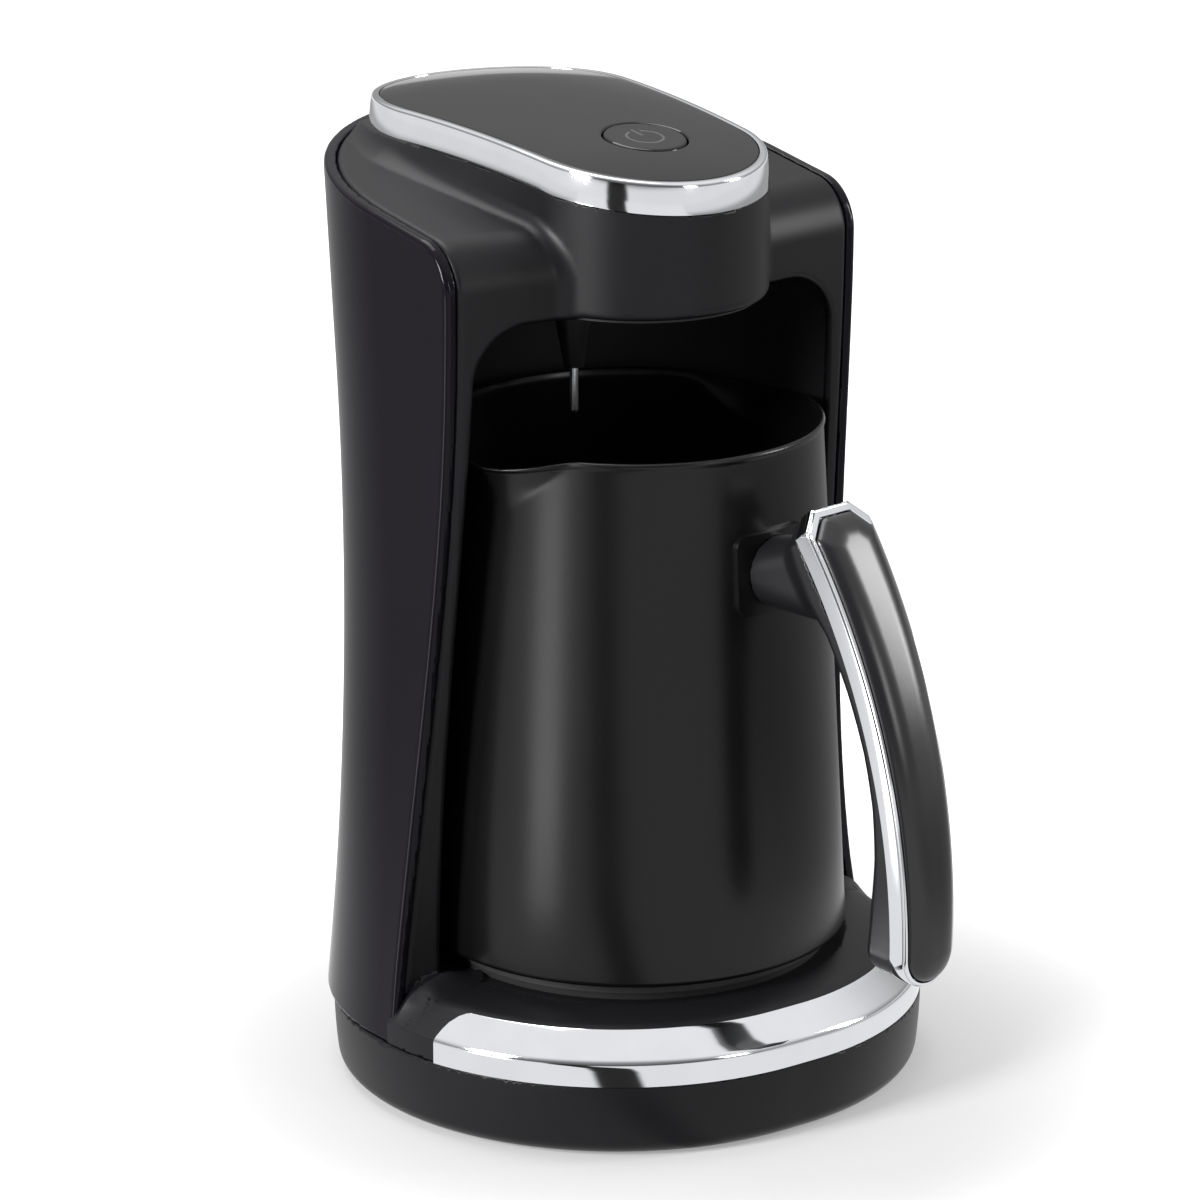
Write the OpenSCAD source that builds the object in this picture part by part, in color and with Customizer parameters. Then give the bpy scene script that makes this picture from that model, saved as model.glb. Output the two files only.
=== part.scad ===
// Electric turkish coffee maker: a base with a hot plate, a bay with a lift-out pot,
// and a head with a sensor rod, a glossy panel and a power button.
// Millimetres, +Z up, front towards -Y.

/* [Base] */
// Width of the base across its widest place
base_w = 140; // [136:1:146]
// How much shorter the base is from front to back than across
base_flat = 6.4; // [4:0.2:9]
// Height of the top of the bowl above the ground
bowl_top = 17.7; // [16:0.1:20]
// How far the bowl draws in towards its bottom
bowl_taper = 2.4; // [1:0.1:4]
// Radius of the bottom edge of the bowl
bowl_edge = 4; // [2:0.5:5]
// Wall of the moulded base pieces
wall = 2.2; // [1.8:0.1:2.6]
// Height at which the feet hold the bowl clear of the ground
foot_h = 1.2; // [0.8:0.1:2]
// Radius of one rubber foot
foot_r = 5.5; // [4:0.5:7]
// Height of the upright part of the chrome band
band_h = 5.7; // [4:0.1:8]
// Height of the sloping part of the chrome band
slope_h = 5.8; // [4:0.1:8]
// How far the sloping part of the chrome band leans inwards
slope_in = 6.8; // [5:0.1:8]
// Thickness of the chrome band
band_t = 1.4; // [1:0.1:1.8]
// How far in front of the middle the two ends of the chrome band lie
band_end = 17; // [14:0.5:24]
// Rise of the deck above the chrome band
deck_rise = 2.3; // [1.5:0.1:4]
// How far the dish around the hot plate reaches past the pot's foot
dish_out = 2; // [1:0.5:4]
// Depth of the dish around the hot plate
dish_depth = 1; // [0.4:0.1:1.4]

/* [Hot plate] */
// How far the hot plate's edge lies inside the pot's foot
plate_in = 4; // [3:0.5:6]
// Height of the hot plate's top above the deck
plate_stand = 3.1; // [2.4:0.1:5]
// Thickness of the hot plate's rim
plate_rim = 2.4; // [1.8:0.1:2.4]
// Width of the step under the hot plate's rim
plate_step = 2; // [1.5:0.1:3]
// Depth of the hot plate below its rim
plate_depth = 5.2; // [5:0.1:6]
// How far the heating element's ring lies inside the plate's edge
element_in = 16; // [14:0.5:20]
// Radius of the heating element's tube
element_tube = 3.2; // [2.5:0.1:3.5]

/* [Pot] */
// Width of the base that shows on each side of the pot's foot
pot_margin = 20; // [19.4:0.2:22]
// How much the pot's radius draws in from its foot to its rim
pot_draw = 6.6; // [5:0.2:9]
// Height of the pot
pot_h = 121.6; // [112:0.2:122]
// Thickness of the pot's wall
pot_wall = 1.2; // [1:0.1:2]
// Radius of the bead around the pot's rim
rim_bead = 0.8; // [0.7:0.05:1.2]
// Rounding of the pot's bottom edge
pot_edge = 1.4; // [1:0.1:3]
// How far each spout reaches out past the rim
spout_out = 5; // [3:0.2:6]
// How far each spout dips below the rim
spout_dip = 2.2; // [1:0.1:4]
// Distance from the rim in to the middle of a spout's cone
spout_core = 15; // [11:0.5:18]
// Height of a spout from its foot on the wall to the rim
spout_h = 24; // [16:0.5:30]
// Distance of the pot's axis in front of the base's middle
pot_y = 2; // [1:0.1:3]
// Angle by which the pot stands turned on its plate
pot_turn = 7; // [0:0.5:10]

/* [Handle] */
// Reach of the handle in front of the pot's foot
handle_out = 48; // [42:0.5:54]
// Height of the handle's lower end above the pot's bottom
handle_low = 8; // [4:0.5:14]
// How far the handle's upper end lies below the pot's rim
handle_drop = 8.6; // [6:0.2:14]
// Half width of the handle at its upper end
handle_top_w = 10.2; // [9:0.1:12]
// Half width of the handle at its lower end
handle_end_w = 8.2; // [7:0.1:9]
// Radius of the curve of the handle's front, seen from the side
grip_r = 159; // [150:1:180]
// Height above the pot's bottom at which the handle reaches furthest out
grip_mid = 18; // [14:0.5:30]
// Thickness of the chrome frame of the handle
frame_t = 4.6; // [3.6:0.1:5.5]
// Width of the chrome rim around the insert
frame_rim = 2.4; // [1.8:0.1:3]
// Depth of the recess that holds the insert
insert_t = 1.6; // [1.2:0.1:2]
// How far the insert is crowned across its width
insert_crown = 2; // [1:0.1:2.4]
// Thickness of the black grip behind the chrome frame at its thickest
grip_t = 9.6; // [8:0.1:12]
// Radius of the neck between the pot and the handle
neck_r = 8.2; // [7:0.1:9]
// How much taller the neck is where it meets the handle
neck_flare = 5.6; // [3:0.1:7]
// How far the middle of the neck lies below the pot's rim
neck_drop = 27.4; // [24:0.2:31]
// Width of the bracket plate on the pot
bracket_w = 22; // [19:0.5:25]
// Height of the bracket plate on the pot
bracket_h = 18.6; // [17.8:0.1:21]
// Thickness of the bracket plate
bracket_t = 1.5; // [1.2:0.1:2]

/* [Casing] */
// How far the casing's straight upper part stands inside the base on each side
case_in = 12; // [10:0.1:13.5]
// How much wider the casing is on each side at its bottom
case_flare = 11.5; // [10.5:0.1:12]
// Height at which the flare of the casing starts
flare_z = 170; // [160:1:180]
// Wall of the glossy rear shell
shell_t = 2.6; // [2:0.1:3]
// Gap between the rear shell and the front housing
seam = 0.4; // [0.3:0.05:0.6]
// Angle by which the casing's axis leans back
lean = 4.8; // [3.5:0.1:5.5]
// Place of the casing's axis behind the middle, at the ground
case_y = 1.9; // [1:0.1:3]
// How far the casing's front edge comes forward at its top
edge_top = 10.6; // [9.6:0.1:12]
// How far the casing's front edge comes forward at its waist
edge_waist = 1.5; // [1:0.1:3]
// Height of the waist of the front edge
waist_z = 40; // [30:1:50]
// Height of the shoulders above the bay's ceiling, over the base's middle
shoulder_up = 20.2; // [18.8:0.1:21.4]
// Angle at which the shoulders rise towards the back
shoulder_rise = 8.8; // [7:0.1:9.5]
// Radius of the rounded edge where the front turns into the shoulders
corner_r = 10; // [8:0.5:12]
// Angle at which each half of the front is splayed
splay = 6.9; // [4:0.1:8]
// Wall of the front housing
housing_t = 2.4; // [2:0.1:2.8]
// Gap between the pot's foot and the bay at the deck
bay_gap = 4.7; // [4:0.1:5.5]
// How much the bay's radius draws in towards its top
bay_draw = 3.5; // [2.8:0.1:4.2]
// Room between the pot's rim and the bay's ceiling
bay_room = 28.4; // [26:0.1:30]
// Radius of the upper corners of the bay
bay_corner = 13; // [8:0.5:16]
// Wall of the bay's liner
liner_t = 1.8; // [1.4:0.1:2]

/* [Head] */
// Radius of the head
head_r = 29.5; // [28.5:0.1:30.5]
// How far the head's centre lies in front of the middle
head_y = 4; // [2:0.2:6]
// Radius of the rounded lower edge of the head
head_edge = 3; // [1:0.5:4]
// Radius of the back end of the chrome ring
ring_back_r = 33; // [32:0.1:34]
// How far the centre of the ring's back end lies inside the casing's half width
ring_back_in = 12; // [11:0.2:14]
// Height of the top of the chrome ring above the bay's ceiling, at its highest place
ring_up = 38.7; // [37.9:0.1:40.3]
// Place of the highest line of the ring, behind the middle
ring_high_y = 52; // [46:0.5:56]
// Radius of the ring's top, seen from the side
ring_arc = 498; // [440:2:560]
// Height of the chrome ring
ring_h = 6.8; // [6.4:0.1:7.6]
// Width of the chrome ring's rim
ring_w = 2.5; // [2:0.1:3]
// How much wider the hood is at its foot on each side, at the back
hood_flare = 5.6; // [3:0.1:6]
// Thickness of the panel
panel_t = 2.2; // [1.8:0.1:2.4]
// How far the panel is crowned across its width
panel_crown = 1.9; // [1:0.1:2.4]
// Radius of the power button
button_r = 9.6; // [8:0.1:11]
// How far the power button's centre lies in front of the middle
button_y = 6; // [5:0.2:8]
// Travel of the power button
button_travel = 0.8; // [0.5:0.1:1]
// Radius of the sensor rod
rod_r = 1; // [0.8:0.05:1.3]
// How far the sensor rod stands to the left
rod_x = 14; // [11:0.5:15]
// How far the sensor rod stands behind the middle
rod_y = 2; // [0:0.5:4]
// Free length of the sensor rod below its holder
rod_free = 11.2; // [9:0.2:12]
// Gap between the pot's rim and the tip of the sensor rod
rod_clear = 1.4; // [1.2:0.1:4]

/* [Electrics] */
// Thickness of the circuit boards
board_t = 1.6; // [1.2:0.1:2]
// Height of the control board below the panel
board_drop = 7.2; // [6.6:0.1:8]
// Radius of the cable bundle
loom_r = 2.2; // [1.8:0.1:2.8]
// Radius of the hole for the mains cord
cord_r = 3.4; // [2.8:0.1:3.8]
// Radius of the screws' shanks
screw_r = 1.5; // [1.2:0.05:1.7]

/* [Hidden] */
$fn = 120;

// Clearances
fit = 0.05;
slip = 0.1;
press_gap = 0.25;
big = 400;

// Heights of the base, from the ground up
band_top = bowl_top + band_h;
slope_top = band_top + slope_h;
deck_top = slope_top + deck_rise;
floor_z = foot_h + wall;
plate_top = deck_top + plate_stand;
plate_under = plate_top - plate_rim;
plate_foot = plate_under - plate_depth;
deck_under = deck_top - wall;

// Plan of the base: two half circles a little apart, with short straights between them
oval_c = base_flat / 2;
oval_b = base_w / 2 - oval_c;

// Pot, and the plate and dish under it
pot_r = base_w / 2 - pot_margin;
rim_r = pot_r - pot_draw;
pot_z = plate_top + slip;
rim_z = pot_z + pot_h;
plate_r = pot_r - plate_in;
dish_r = pot_r + dish_out;
element_r = plate_r - element_in;
function pot_radius(h) = pot_r - (pot_r - rim_r) * (h - pot_edge) / (pot_h - pot_edge);

// Bay and casing
bay_low = pot_r + bay_gap;
bay_high = bay_low - bay_draw;
bay_top = rim_z + bay_room;
case_w = base_w / 2 - case_in;
shoulder_z = bay_top + shoulder_up;
flare_r = (pow(flare_z - bowl_top, 2) + pow(case_flare, 2)) / (2 * case_flare);
corner_y = corner_r - edge_top;
function shoulder_at(y) = shoulder_z + tan(shoulder_rise) * y;
corner_z = shoulder_at(corner_y) - corner_r / cos(shoulder_rise);
function edge_y(z) = z > waist_z
    ? -(edge_top + edge_waist) / 2
        + (edge_top - edge_waist) / 2 * cos(180 * (z - waist_z) / (corner_z - waist_z))
    : -edge_waist - 1.5 * pow((waist_z - z) / (waist_z - bowl_top), 2);

// Head
ring_back_y = case_w - ring_back_in;
ring_top = bay_top + ring_up;
crown_z = ring_top - ring_arc;
crown_r = ring_arc + panel_crown;
panel_under_r = ring_arc - panel_t;
button_tilt = asin((ring_high_y + button_y) / crown_r);
button_z = crown_z + crown_r * cos(button_tilt);
side_blend = 0.03;
side_tilt = asin((ring_back_r - head_r) / (ring_back_y + head_y));
board_z = crown_z + sqrt(pow(ring_arc, 2) - pow(ring_high_y + button_y, 2)) - board_drop;
rod_tip = rim_z + rod_clear;
holder_z = rod_tip + rod_free;

// Handle, as distances from the pot's axis and heights
handle_reach = pot_r + handle_out;
grip_z = pot_z + grip_mid;
grip_c = handle_reach - grip_r;
handle_z0 = pot_z + handle_low;
handle_z1 = rim_z - handle_drop;
handle_edge_r = grip_r - insert_crown;
strip_r = grip_r - insert_crown - frame_t;
insert_w = handle_top_w - frame_rim;
back_z = grip_z + 14;
back_r = 111;
back_c = handle_reach - insert_crown - frame_t - grip_t + 0.6 - back_r;

// The part's origin lies under the middle of its whole box
insert_cross_r = (pow(insert_w, 2) + pow(insert_crown, 2)) / (2 * insert_crown);
front_reach = pot_y + (handle_reach - insert_cross_r) * cos(pot_turn) + insert_cross_r;
base_y = (front_reach - ring_back_y - ring_back_r) / 2;

module machine() {
    translate([0, base_y, 0]) children();
}

module at_pot() {
    machine() translate([0, -pot_y, 0]) rotate([0, 0, pot_turn]) children();
}

// Profile seen from the right, as y and z, drawn out along X
module side_extrude(w) {
    rotate([90, 0, 90]) linear_extrude(height = w, center = true) children();
}

// Profile seen from the front, as x and z, drawn out along Y
module front_extrude(y0, y1) {
    translate([0, y1, 0]) rotate([90, 0, 0]) linear_extrude(height = y1 - y0) children();
}

// Profile as distance from the pot's axis and height, turned about an axis along X
module swing(c, z, from, to, steps) {
    translate([0, -c, z]) rotate([90, 0, -90]) rotate([0, 0, from])
        rotate_extrude(angle = to - from, $fn = steps) children();
}

// Sweeps a profile around the base's plan; x is the distance outside the outline
module oval_sweep() {
    for (s = [0, 180]) rotate([0, 0, s]) {
        translate([oval_c, 0, 0]) rotate([0, 0, -90]) rotate_extrude(angle = 180)
            from_axis(oval_b) children();
        side_extrude(2 * oval_c) from_axis(oval_b) children();
    }
}

module from_axis(r) {
    intersection() {
        translate([r, 0]) children();
        translate([0, -1]) square([r + 20, big]);
    }
}

module ring(r_out, r_in, h) {
    difference() {
        cylinder(r = r_out, h = h);
        translate([0, 0, -1]) cylinder(r = r_in, h = h + 2);
    }
}

module rounded_square(w, h, r) {
    square([w - 2 * r, h], center = true);
    square([w, h - 2 * r], center = true);
    for (sx = [-1, 1], sy = [-1, 1]) translate([sx * (w / 2 - r), sy * (h / 2 - r)])
        circle(r = r);
}

// Pan head screw, its head's seat at z = 0 and its shank pointing down
module pan_screw(length, head_r = 2.8, head_h = 1.8) {
    difference() {
        cylinder(r = head_r, h = head_h);
        for (a = [0, 90]) translate([0, 0, head_h - 0.4]) rotate([0, 0, a])
            cube([3, 0.7, 1.6], center = true);
    }
    translate([0, 0, -length]) cylinder(r = screw_r, h = length);
}

// ---------- Base ----------

base_screw_in = 16.8;
base_screw_y = 29;
foot_x = 32;
foot_in = 24.8;
base_screw_at = [for (sx = [-1, 1], sy = [-1, 1]) [sx * (oval_b - base_screw_in), sy * base_screw_y]];
foot_at = [for (sx = [-1, 1], sy = [-1, 1]) [sx * foot_x, sy * (oval_b - foot_in)]];
boss_r = 4;
boss_top = 14;
screw_seat = 7;

module bowl_outside() {
    translate([-big / 4, foot_h]) square([big / 4 - bowl_taper - bowl_edge, bowl_top - foot_h]);
    translate([-bowl_taper - bowl_edge, foot_h + bowl_edge]) circle(r = bowl_edge);
    polygon([[-big / 4, foot_h + bowl_edge], [-bowl_taper, foot_h + bowl_edge],
        [0, bowl_top], [-big / 4, bowl_top]]);
}

module bowl_inside() {
    polygon([[-big / 4, floor_z], [-bowl_taper - bowl_edge - wall, floor_z],
        [-bowl_taper - wall, floor_z + bowl_edge], [-wall, bowl_top + 1],
        [-big / 4, bowl_top + 1]]);
}

gland_z = foot_h + 9.4;
gland_r = cord_r + 1.8;
gland_flange = gland_r + 1.4;
gland_seat = oval_b - wall - 1.2;
board_in = 26.8;
board_at = [0, oval_b - board_in];
board_size = [60, 30];
standoff_top = 9;
board_hole_at = [for (sx = [-1, 1], sy = [-1, 1])
    board_at + [sx * (board_size[0] / 2 - 4), sy * (board_size[1] / 2 - 4)]];

module base_bowl() {
    color("#26262a") machine() difference() {
        union() {
            difference() {
                oval_sweep() bowl_outside();
                oval_sweep() bowl_inside();
            }
            for (p = base_screw_at) translate([p[0], p[1], floor_z - 1])
                cylinder(r = boss_r, h = boss_top - floor_z + 1);
            for (p = board_hole_at) translate([p[0], p[1], floor_z - 1])
                cylinder(r = 2.6, h = standoff_top - floor_z + 1);
        }
        for (p = base_screw_at) translate([p[0], p[1], 0]) {
            cylinder(r = 3.2, h = screw_seat);
            cylinder(r = screw_r + press_gap, h = boss_top + 1);
        }
        for (p = board_hole_at) translate([p[0], p[1], floor_z]) cylinder(r = 1.1, h = 10);
        for (p = foot_at) translate([p[0], p[1], 0]) cylinder(r = foot_r + fit, h = foot_h + 1);
        translate([0, 0, gland_z]) rotate([-90, 0, 0]) {
            translate([0, 0, gland_seat - 1]) cylinder(r = gland_r + fit, h = 20);
            translate([0, 0, gland_seat - 6]) cylinder(r = gland_flange + fit, h = 6);
        }
    }
}

module rubber_feet() {
    color("#1b1b1c") machine() for (p = foot_at) translate([p[0], p[1], 0]) {
        cylinder(r1 = foot_r - 0.6, r2 = foot_r, h = 0.6);
        translate([0, 0, 0.6]) cylinder(r = foot_r, h = foot_h + 0.4);
    }
}

module base_screws() {
    color("#8d9096") machine() for (p = base_screw_at) translate([p[0], p[1], screw_seat])
        mirror([0, 0, 1]) pan_screw(boss_top - screw_seat + 8);
}

function deck_profile() = [[-slope_in - 4, slope_top + 0.8], [-slope_in - 5.8, deck_top - 0.3],
    [-slope_in - 8, deck_top], [-big / 4, deck_top]];

// Outside of the deck's edge with the band, and the inside of its moulding
module deck_outside() {
    polygon(concat([[-big / 4, bowl_top], [0, bowl_top], [0, band_top],
        [-slope_in, slope_top]], deck_profile()));
}

module deck_inside() {
    polygon([[-big / 4, bowl_top - 4], [-wall - band_t, bowl_top - 4],
        [-wall - band_t, band_top - 1.2], [-slope_in - wall, slope_top - wall],
        [-slope_in - 8, deck_under], [-big / 4, deck_under]]);
}

module band_profile(t) {
    polygon([[1, bowl_top], [1, slope_top + 1], [-slope_in - t * 0.35, slope_top + 1],
        [-slope_in - t * 0.35, slope_top - t * 0.6], [-t, band_top - t * 0.55],
        [-t, bowl_top]]);
}

// The stretch of the base that the chrome band goes around
module band_reach(gap) {
    translate([-big / 2, -big - band_end + gap, 0]) cube([big, big, 60]);
}

// Everything outside the casing's inner face, behind its front edge
module shell_zone(i) {
    difference() {
        side_form(-seam);
        body_form(i);
    }
}

clamp_screw_r = plate_r + 2.5;
clamp_screw_at = [for (a = [30, 150, 270])
    [clamp_screw_r * cos(a), clamp_screw_r * sin(a) - pot_y]];
shell_screw_z = bowl_top + 7.4;
shell_screw_angle = 20;

module at_shell_screws() {
    cy = case_y + tan(lean) * shell_screw_z;
    for (s = [-1, 1]) translate([0, cy, shell_screw_z])
        rotate([0, 0, 90 + s * shell_screw_angle]) rotate([0, 90, 0]) children();
}

shell_screw_r = case_w + case_flare * pow((flare_z - shell_screw_z) / (flare_z - bowl_top), 2);

module base_deck() {
    color("#1c1c1f") machine() difference() {
        union() {
            difference() {
                oval_sweep() deck_outside();
                oval_sweep() deck_inside();
            }
            for (p = base_screw_at) translate([p[0], p[1], boss_top])
                cylinder(r = boss_r, h = deck_under - boss_top + 0.5);
            for (p = clamp_screw_at) translate([p[0], p[1], plate_foot])
                cylinder(r = 3, h = deck_under - plate_foot + 0.5);
            intersection() {
                at_shell_screws() translate([0, 0, shell_screw_r - 16]) cylinder(r = 3.4, h = 16);
                body_form(shell_t + slip);
            }
        }
        intersection() {
            oval_sweep() band_profile(band_t);
            band_reach(0);
        }
        translate([0, -pot_y, deck_top - dish_depth])
            cylinder(r1 = plate_r + 1, r2 = dish_r, h = dish_depth + 0.01);
        translate([0, -pot_y, 0]) cylinder(r = plate_r - plate_step + press_gap, h = deck_top + 1);
        shell_zone(shell_t + slip);
        translate([0, 0, bowl_top - 1]) shell_lip_cut();
        for (p = base_screw_at) translate([p[0], p[1], 0])
            cylinder(r = screw_r + fit, h = boss_top + 9);
        for (p = clamp_screw_at) translate([p[0], p[1], 0])
            cylinder(r = screw_r + fit, h = plate_foot + 3.6);
        at_shell_screws() cylinder(r = screw_r + fit, h = shell_screw_r + 4);
        translate([-8, loom_y - loom_r - 0.6, bowl_top]) cube([16, 2 * loom_r + 1.2, 20]);
    }
}

module deck_trim() {
    color("#d9dadd") machine() intersection() {
        difference() {
            oval_sweep() polygon([[0, bowl_top], [0, band_top], [-slope_in, slope_top],
                [-big / 8, slope_top], [-big / 8, bowl_top]]);
            oval_sweep() polygon([[-big / 4, bowl_top - 1], [-band_t + fit, bowl_top - 1],
                [-band_t + fit, band_top - band_t * 0.55],
                [-slope_in - band_t * 0.35 + fit, slope_top - band_t * 0.6],
                [-slope_in - band_t * 0.35 + fit, slope_top + 1], [-big / 4, slope_top + 1]]);
        }
        band_reach(-fit);
    }
}

// ---------- Hot plate and heater ----------

module hot_plate() {
    color("#2b2b2d") machine() translate([0, -pot_y, 0]) rotate_extrude() {
        polygon([[0, plate_foot], [plate_r - plate_step, plate_foot],
            [plate_r - plate_step, plate_under], [plate_r, plate_under],
            [plate_r, plate_top - 0.8], [plate_r - 0.8, plate_top], [0, plate_top]]);
    }
}

module plate_gasket() {
    dish_floor = deck_top - dish_depth;
    color("#3a3a3c") machine() translate([0, -pot_y, dish_floor])
        ring(plate_r - 0.5, plate_r - plate_step + press_gap, plate_under - dish_floor);
}

module plate_clamp() {
    color("#9a9c9f") machine() difference() {
        translate([0, -pot_y, plate_foot - 1.6]) union() {
            ring(plate_r - plate_step - 0.5, plate_r - plate_step - 5.5, 1.6);
            for (p = clamp_screw_at) translate([p[0], p[1] + pot_y, 0]) {
                cylinder(r = 4.4, h = 1.6);
                rotate([0, 0, atan2(p[1] + pot_y, p[0])]) translate([-6, -3, 0])
                    cube([6, 6, 1.6]);
            }
        }
        for (p = clamp_screw_at) translate([p[0], p[1], 0])
            cylinder(r = screw_r + press_gap, h = plate_foot + 1);
    }
}

module clamp_screws() {
    color("#8d9096") machine() for (p = clamp_screw_at)
        translate([p[0], p[1], plate_foot - 1.6]) mirror([0, 0, 1]) pan_screw(5);
}

element_gap = 20;

module heating_element() {
    ring_z = plate_foot - element_tube;
    color("#6f6a66") machine() translate([0, -pot_y, ring_z]) {
        rotate([0, 0, 90 + element_gap]) rotate_extrude(angle = 360 - 2 * element_gap)
            translate([element_r, 0]) circle(r = element_tube);
        for (s = [-1, 1]) rotate([0, 0, 90 + s * element_gap]) translate([element_r, 0, -7])
            cylinder(r = element_tube * 0.7, h = 7);
    }
}

module thermostat() {
    color("#b9b4a4") machine() translate([0, -pot_y, plate_foot - 6]) {
        cylinder(r = 8, h = 6);
        for (s = [-1, 1]) translate([s * 10.4 - 3.2, -1.5, 1]) cube([6.4, 3, 0.8]);
    }
}

module thermal_fuse() {
    color("#c9c9c9") machine() translate([0, -pot_y - 17, plate_foot - 2]) {
        rotate([0, 90, 0]) translate([0, 0, -6]) cylinder(r = 2, h = 12);
        rotate([0, 90, 0]) translate([0, 0, -11]) cylinder(r = 0.6, h = 22);
    }
}

// ---------- Power electrics in the base ----------

board_top = standoff_top + board_t;

module power_board() {
    color("#1f5b3a") machine() difference() {
        translate([board_at[0] - board_size[0] / 2, board_at[1] - board_size[1] / 2,
            standoff_top]) cube([board_size[0], board_size[1], board_t]);
        for (p = board_hole_at) translate([p[0], p[1], 0]) cylinder(r = 1.3, h = 20);
    }
}

relay_size = [13, 15, 11];
core_size = [18, 15, 12];
winding_size = [12, 12, 2];
capacitor_r = 5;
capacitor_h = 11;
terminal_size = [14, 7, 6];
terminal_pitch = 6.8;
terminal_r = 1.6;

// Places a piece on the power board, from the board's middle
module on_board(x, y) {
    machine() translate([board_at[0] + x, board_at[1] + y, board_top]) children();
}

module heater_relay() {
    color("#2e4f86") on_board(10, -4) cube(relay_size);
}

module power_transformer() {
    color("#c7a23c") on_board(-9, -5) {
        cube(core_size);
        translate([(core_size[0] - winding_size[0]) / 2, (core_size[1] - winding_size[1]) / 2,
            core_size[2]]) cube(winding_size);
    }
}

module filter_capacitor() {
    color("#8a3b32") on_board(-20, 4) cylinder(r = capacitor_r, h = capacitor_h);
}

module mains_terminal() {
    color("#2f6b46") on_board(-20, -13.4) difference() {
        cube(terminal_size);
        for (s = [-1, 1]) translate([(terminal_size[0] + s * terminal_pitch) / 2,
            terminal_size[1] / 2, terminal_size[2] - 3.4]) cylinder(r = terminal_r, h = 4);
    }
}

module board_screws() {
    color("#8d9096") machine() for (p = board_hole_at) translate([p[0], p[1], board_top]) {
        cylinder(r = 2, h = 1.3);
        translate([0, 0, -board_t - 3]) cylinder(r = 1.05, h = board_t + 3);
    }
}

module cord_gland() {
    color("#1d1d1f") machine() translate([0, gland_seat, gland_z]) rotate([-90, 0, 0])
        difference() {
            union() {
                translate([0, 0, -2.4]) cylinder(r = gland_flange, h = 2.4);
                translate([0, 0, -0.5]) cylinder(r = gland_r, h = 4);
                translate([0, 0, 3.5]) cylinder(r1 = gland_r, r2 = gland_r - 0.8, h = 2.4);
            }
            translate([0, 0, -4]) cylinder(r = cord_r, h = 20);
        }
}

// ---------- Casing ----------

module form_profile(i) {
    difference() {
        square([case_w + case_flare + 4, flare_z]);
        translate([case_w + flare_r, flare_z]) circle(r = flare_r + i, $fn = 1440);
    }
    translate([0, flare_z - 1]) square([case_w - i, ring_top - flare_z + 10]);
}

// Outside of the casing, drawn in by i: round at the back, straight towards the front
module body_form(i) {
    translate([0, case_y, 0]) rotate([-lean, 0, 0]) {
        rotate_extrude($fn = 180) form_profile(i);
        rotate([90, 0, 0]) linear_extrude(height = 45) {
            form_profile(i);
            mirror([1, 0]) form_profile(i);
        }
    }
}

edge_steps = 22;

// Side view of the casing: front edge, rounded corner and shoulders, drawn in by i
function side_points(i) = concat([[big, 0]],
    [for (k = [0:edge_steps]) let (z = corner_z * k / edge_steps) [edge_y(z) + i, z]],
    [for (a = [170:-10:100]) [corner_y + (corner_r - i) * cos(a),
        corner_z + (corner_r - i) * sin(a)]],
    [for (y = [corner_y - corner_r * sin(shoulder_rise), big])
        [y, shoulder_at(y) - i / cos(shoulder_rise)]]);

module side_form(i) {
    side_extrude(big) polygon(side_points(i));
}

// The same with each half of the front splayed forwards towards the middle
module front_form(i) {
    reach = (case_w + 1) / cos(splay);
    for (s = [0, 1]) mirror([s, 0, 0]) translate([case_w - 1, 0, 0]) rotate([0, 0, splay])
        translate([-reach / 2 + 4, 0, 0]) side_extrude(reach + 8) polygon(side_points(i));
}

// Inward flange at the foot of the rear shell
module shell_lip_cut() {
    intersection() {
        linear_extrude(height = 1 + wall + slip) difference() {
            square(big, center = true);
            oval_2d(wall + 2);
        }
        side_form(-seam);
    }
}

// Plan of the base, drawn in by i
module oval_2d(i) {
    square([2 * oval_c, 2 * (oval_b - i)], center = true);
    for (s = [-1, 1]) translate([s * oval_c, 0]) circle(r = oval_b - i);
}

module rear_shell() {
    color("#17151b") machine() difference() {
        intersection() {
            side_form(0);
            union() {
                difference() {
                    body_form(0);
                    body_form(shell_t);
                }
                translate([0, 0, bowl_top]) linear_extrude(height = wall) difference() {
                    square(big / 2, center = true);
                    oval_2d(wall + 2.1);
                }
            }
            body_form(0);
            translate([-big / 2, -big / 2, bowl_top]) cube([big, big, big]);
        }
        difference() {
            ring_prism(-slip);
            below_crown(ring_arc - ring_h - slip);
        }
        at_shell_screws() {
            cylinder(r = screw_r + press_gap, h = shell_screw_r + 10);
            translate([0, 0, shell_screw_r - 1.2]) cylinder(r = 3.1, h = 10);
        }
    }
}

module shell_screws() {
    color("#8d9096") machine() at_shell_screws() translate([0, 0, shell_screw_r - 1.2])
        pan_screw(9, 2.8, 1.1);
}

module bay_profile(i) {
    r_top = bay_high + i;
    polygon([[0, 10], [bay_low + i + 0.6, 10], [bay_low + i, deck_top],
        [r_top, bay_top - bay_corner], [r_top - bay_corner - i, bay_top + i], [0, bay_top + i]]);
    translate([bay_high - bay_corner, bay_top - bay_corner]) circle(r = bay_corner + i);
}

// The bay around the pot, grown by i
module bay_form(i) {
    translate([0, -pot_y, 0]) rotate_extrude($fn = 180) intersection() {
        bay_profile(i);
        square([big, big]);
    }
}

module deck_envelope() {
    oval_sweep() deck_outside();
}

// The round part of the head, drawn in by i
module head_form(i) {
    translate([0, -head_y, 0]) rotate_extrude() {
        if (i == 0) {
            translate([0, bay_top + head_edge]) square([head_r, 60]);
            translate([0, bay_top]) square([head_r - head_edge, 10]);
            translate([head_r - head_edge, bay_top + head_edge]) circle(r = head_edge);
        } else {
            translate([0, bay_top - 1]) square([head_r - i, 70]);
        }
    }
}

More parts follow.
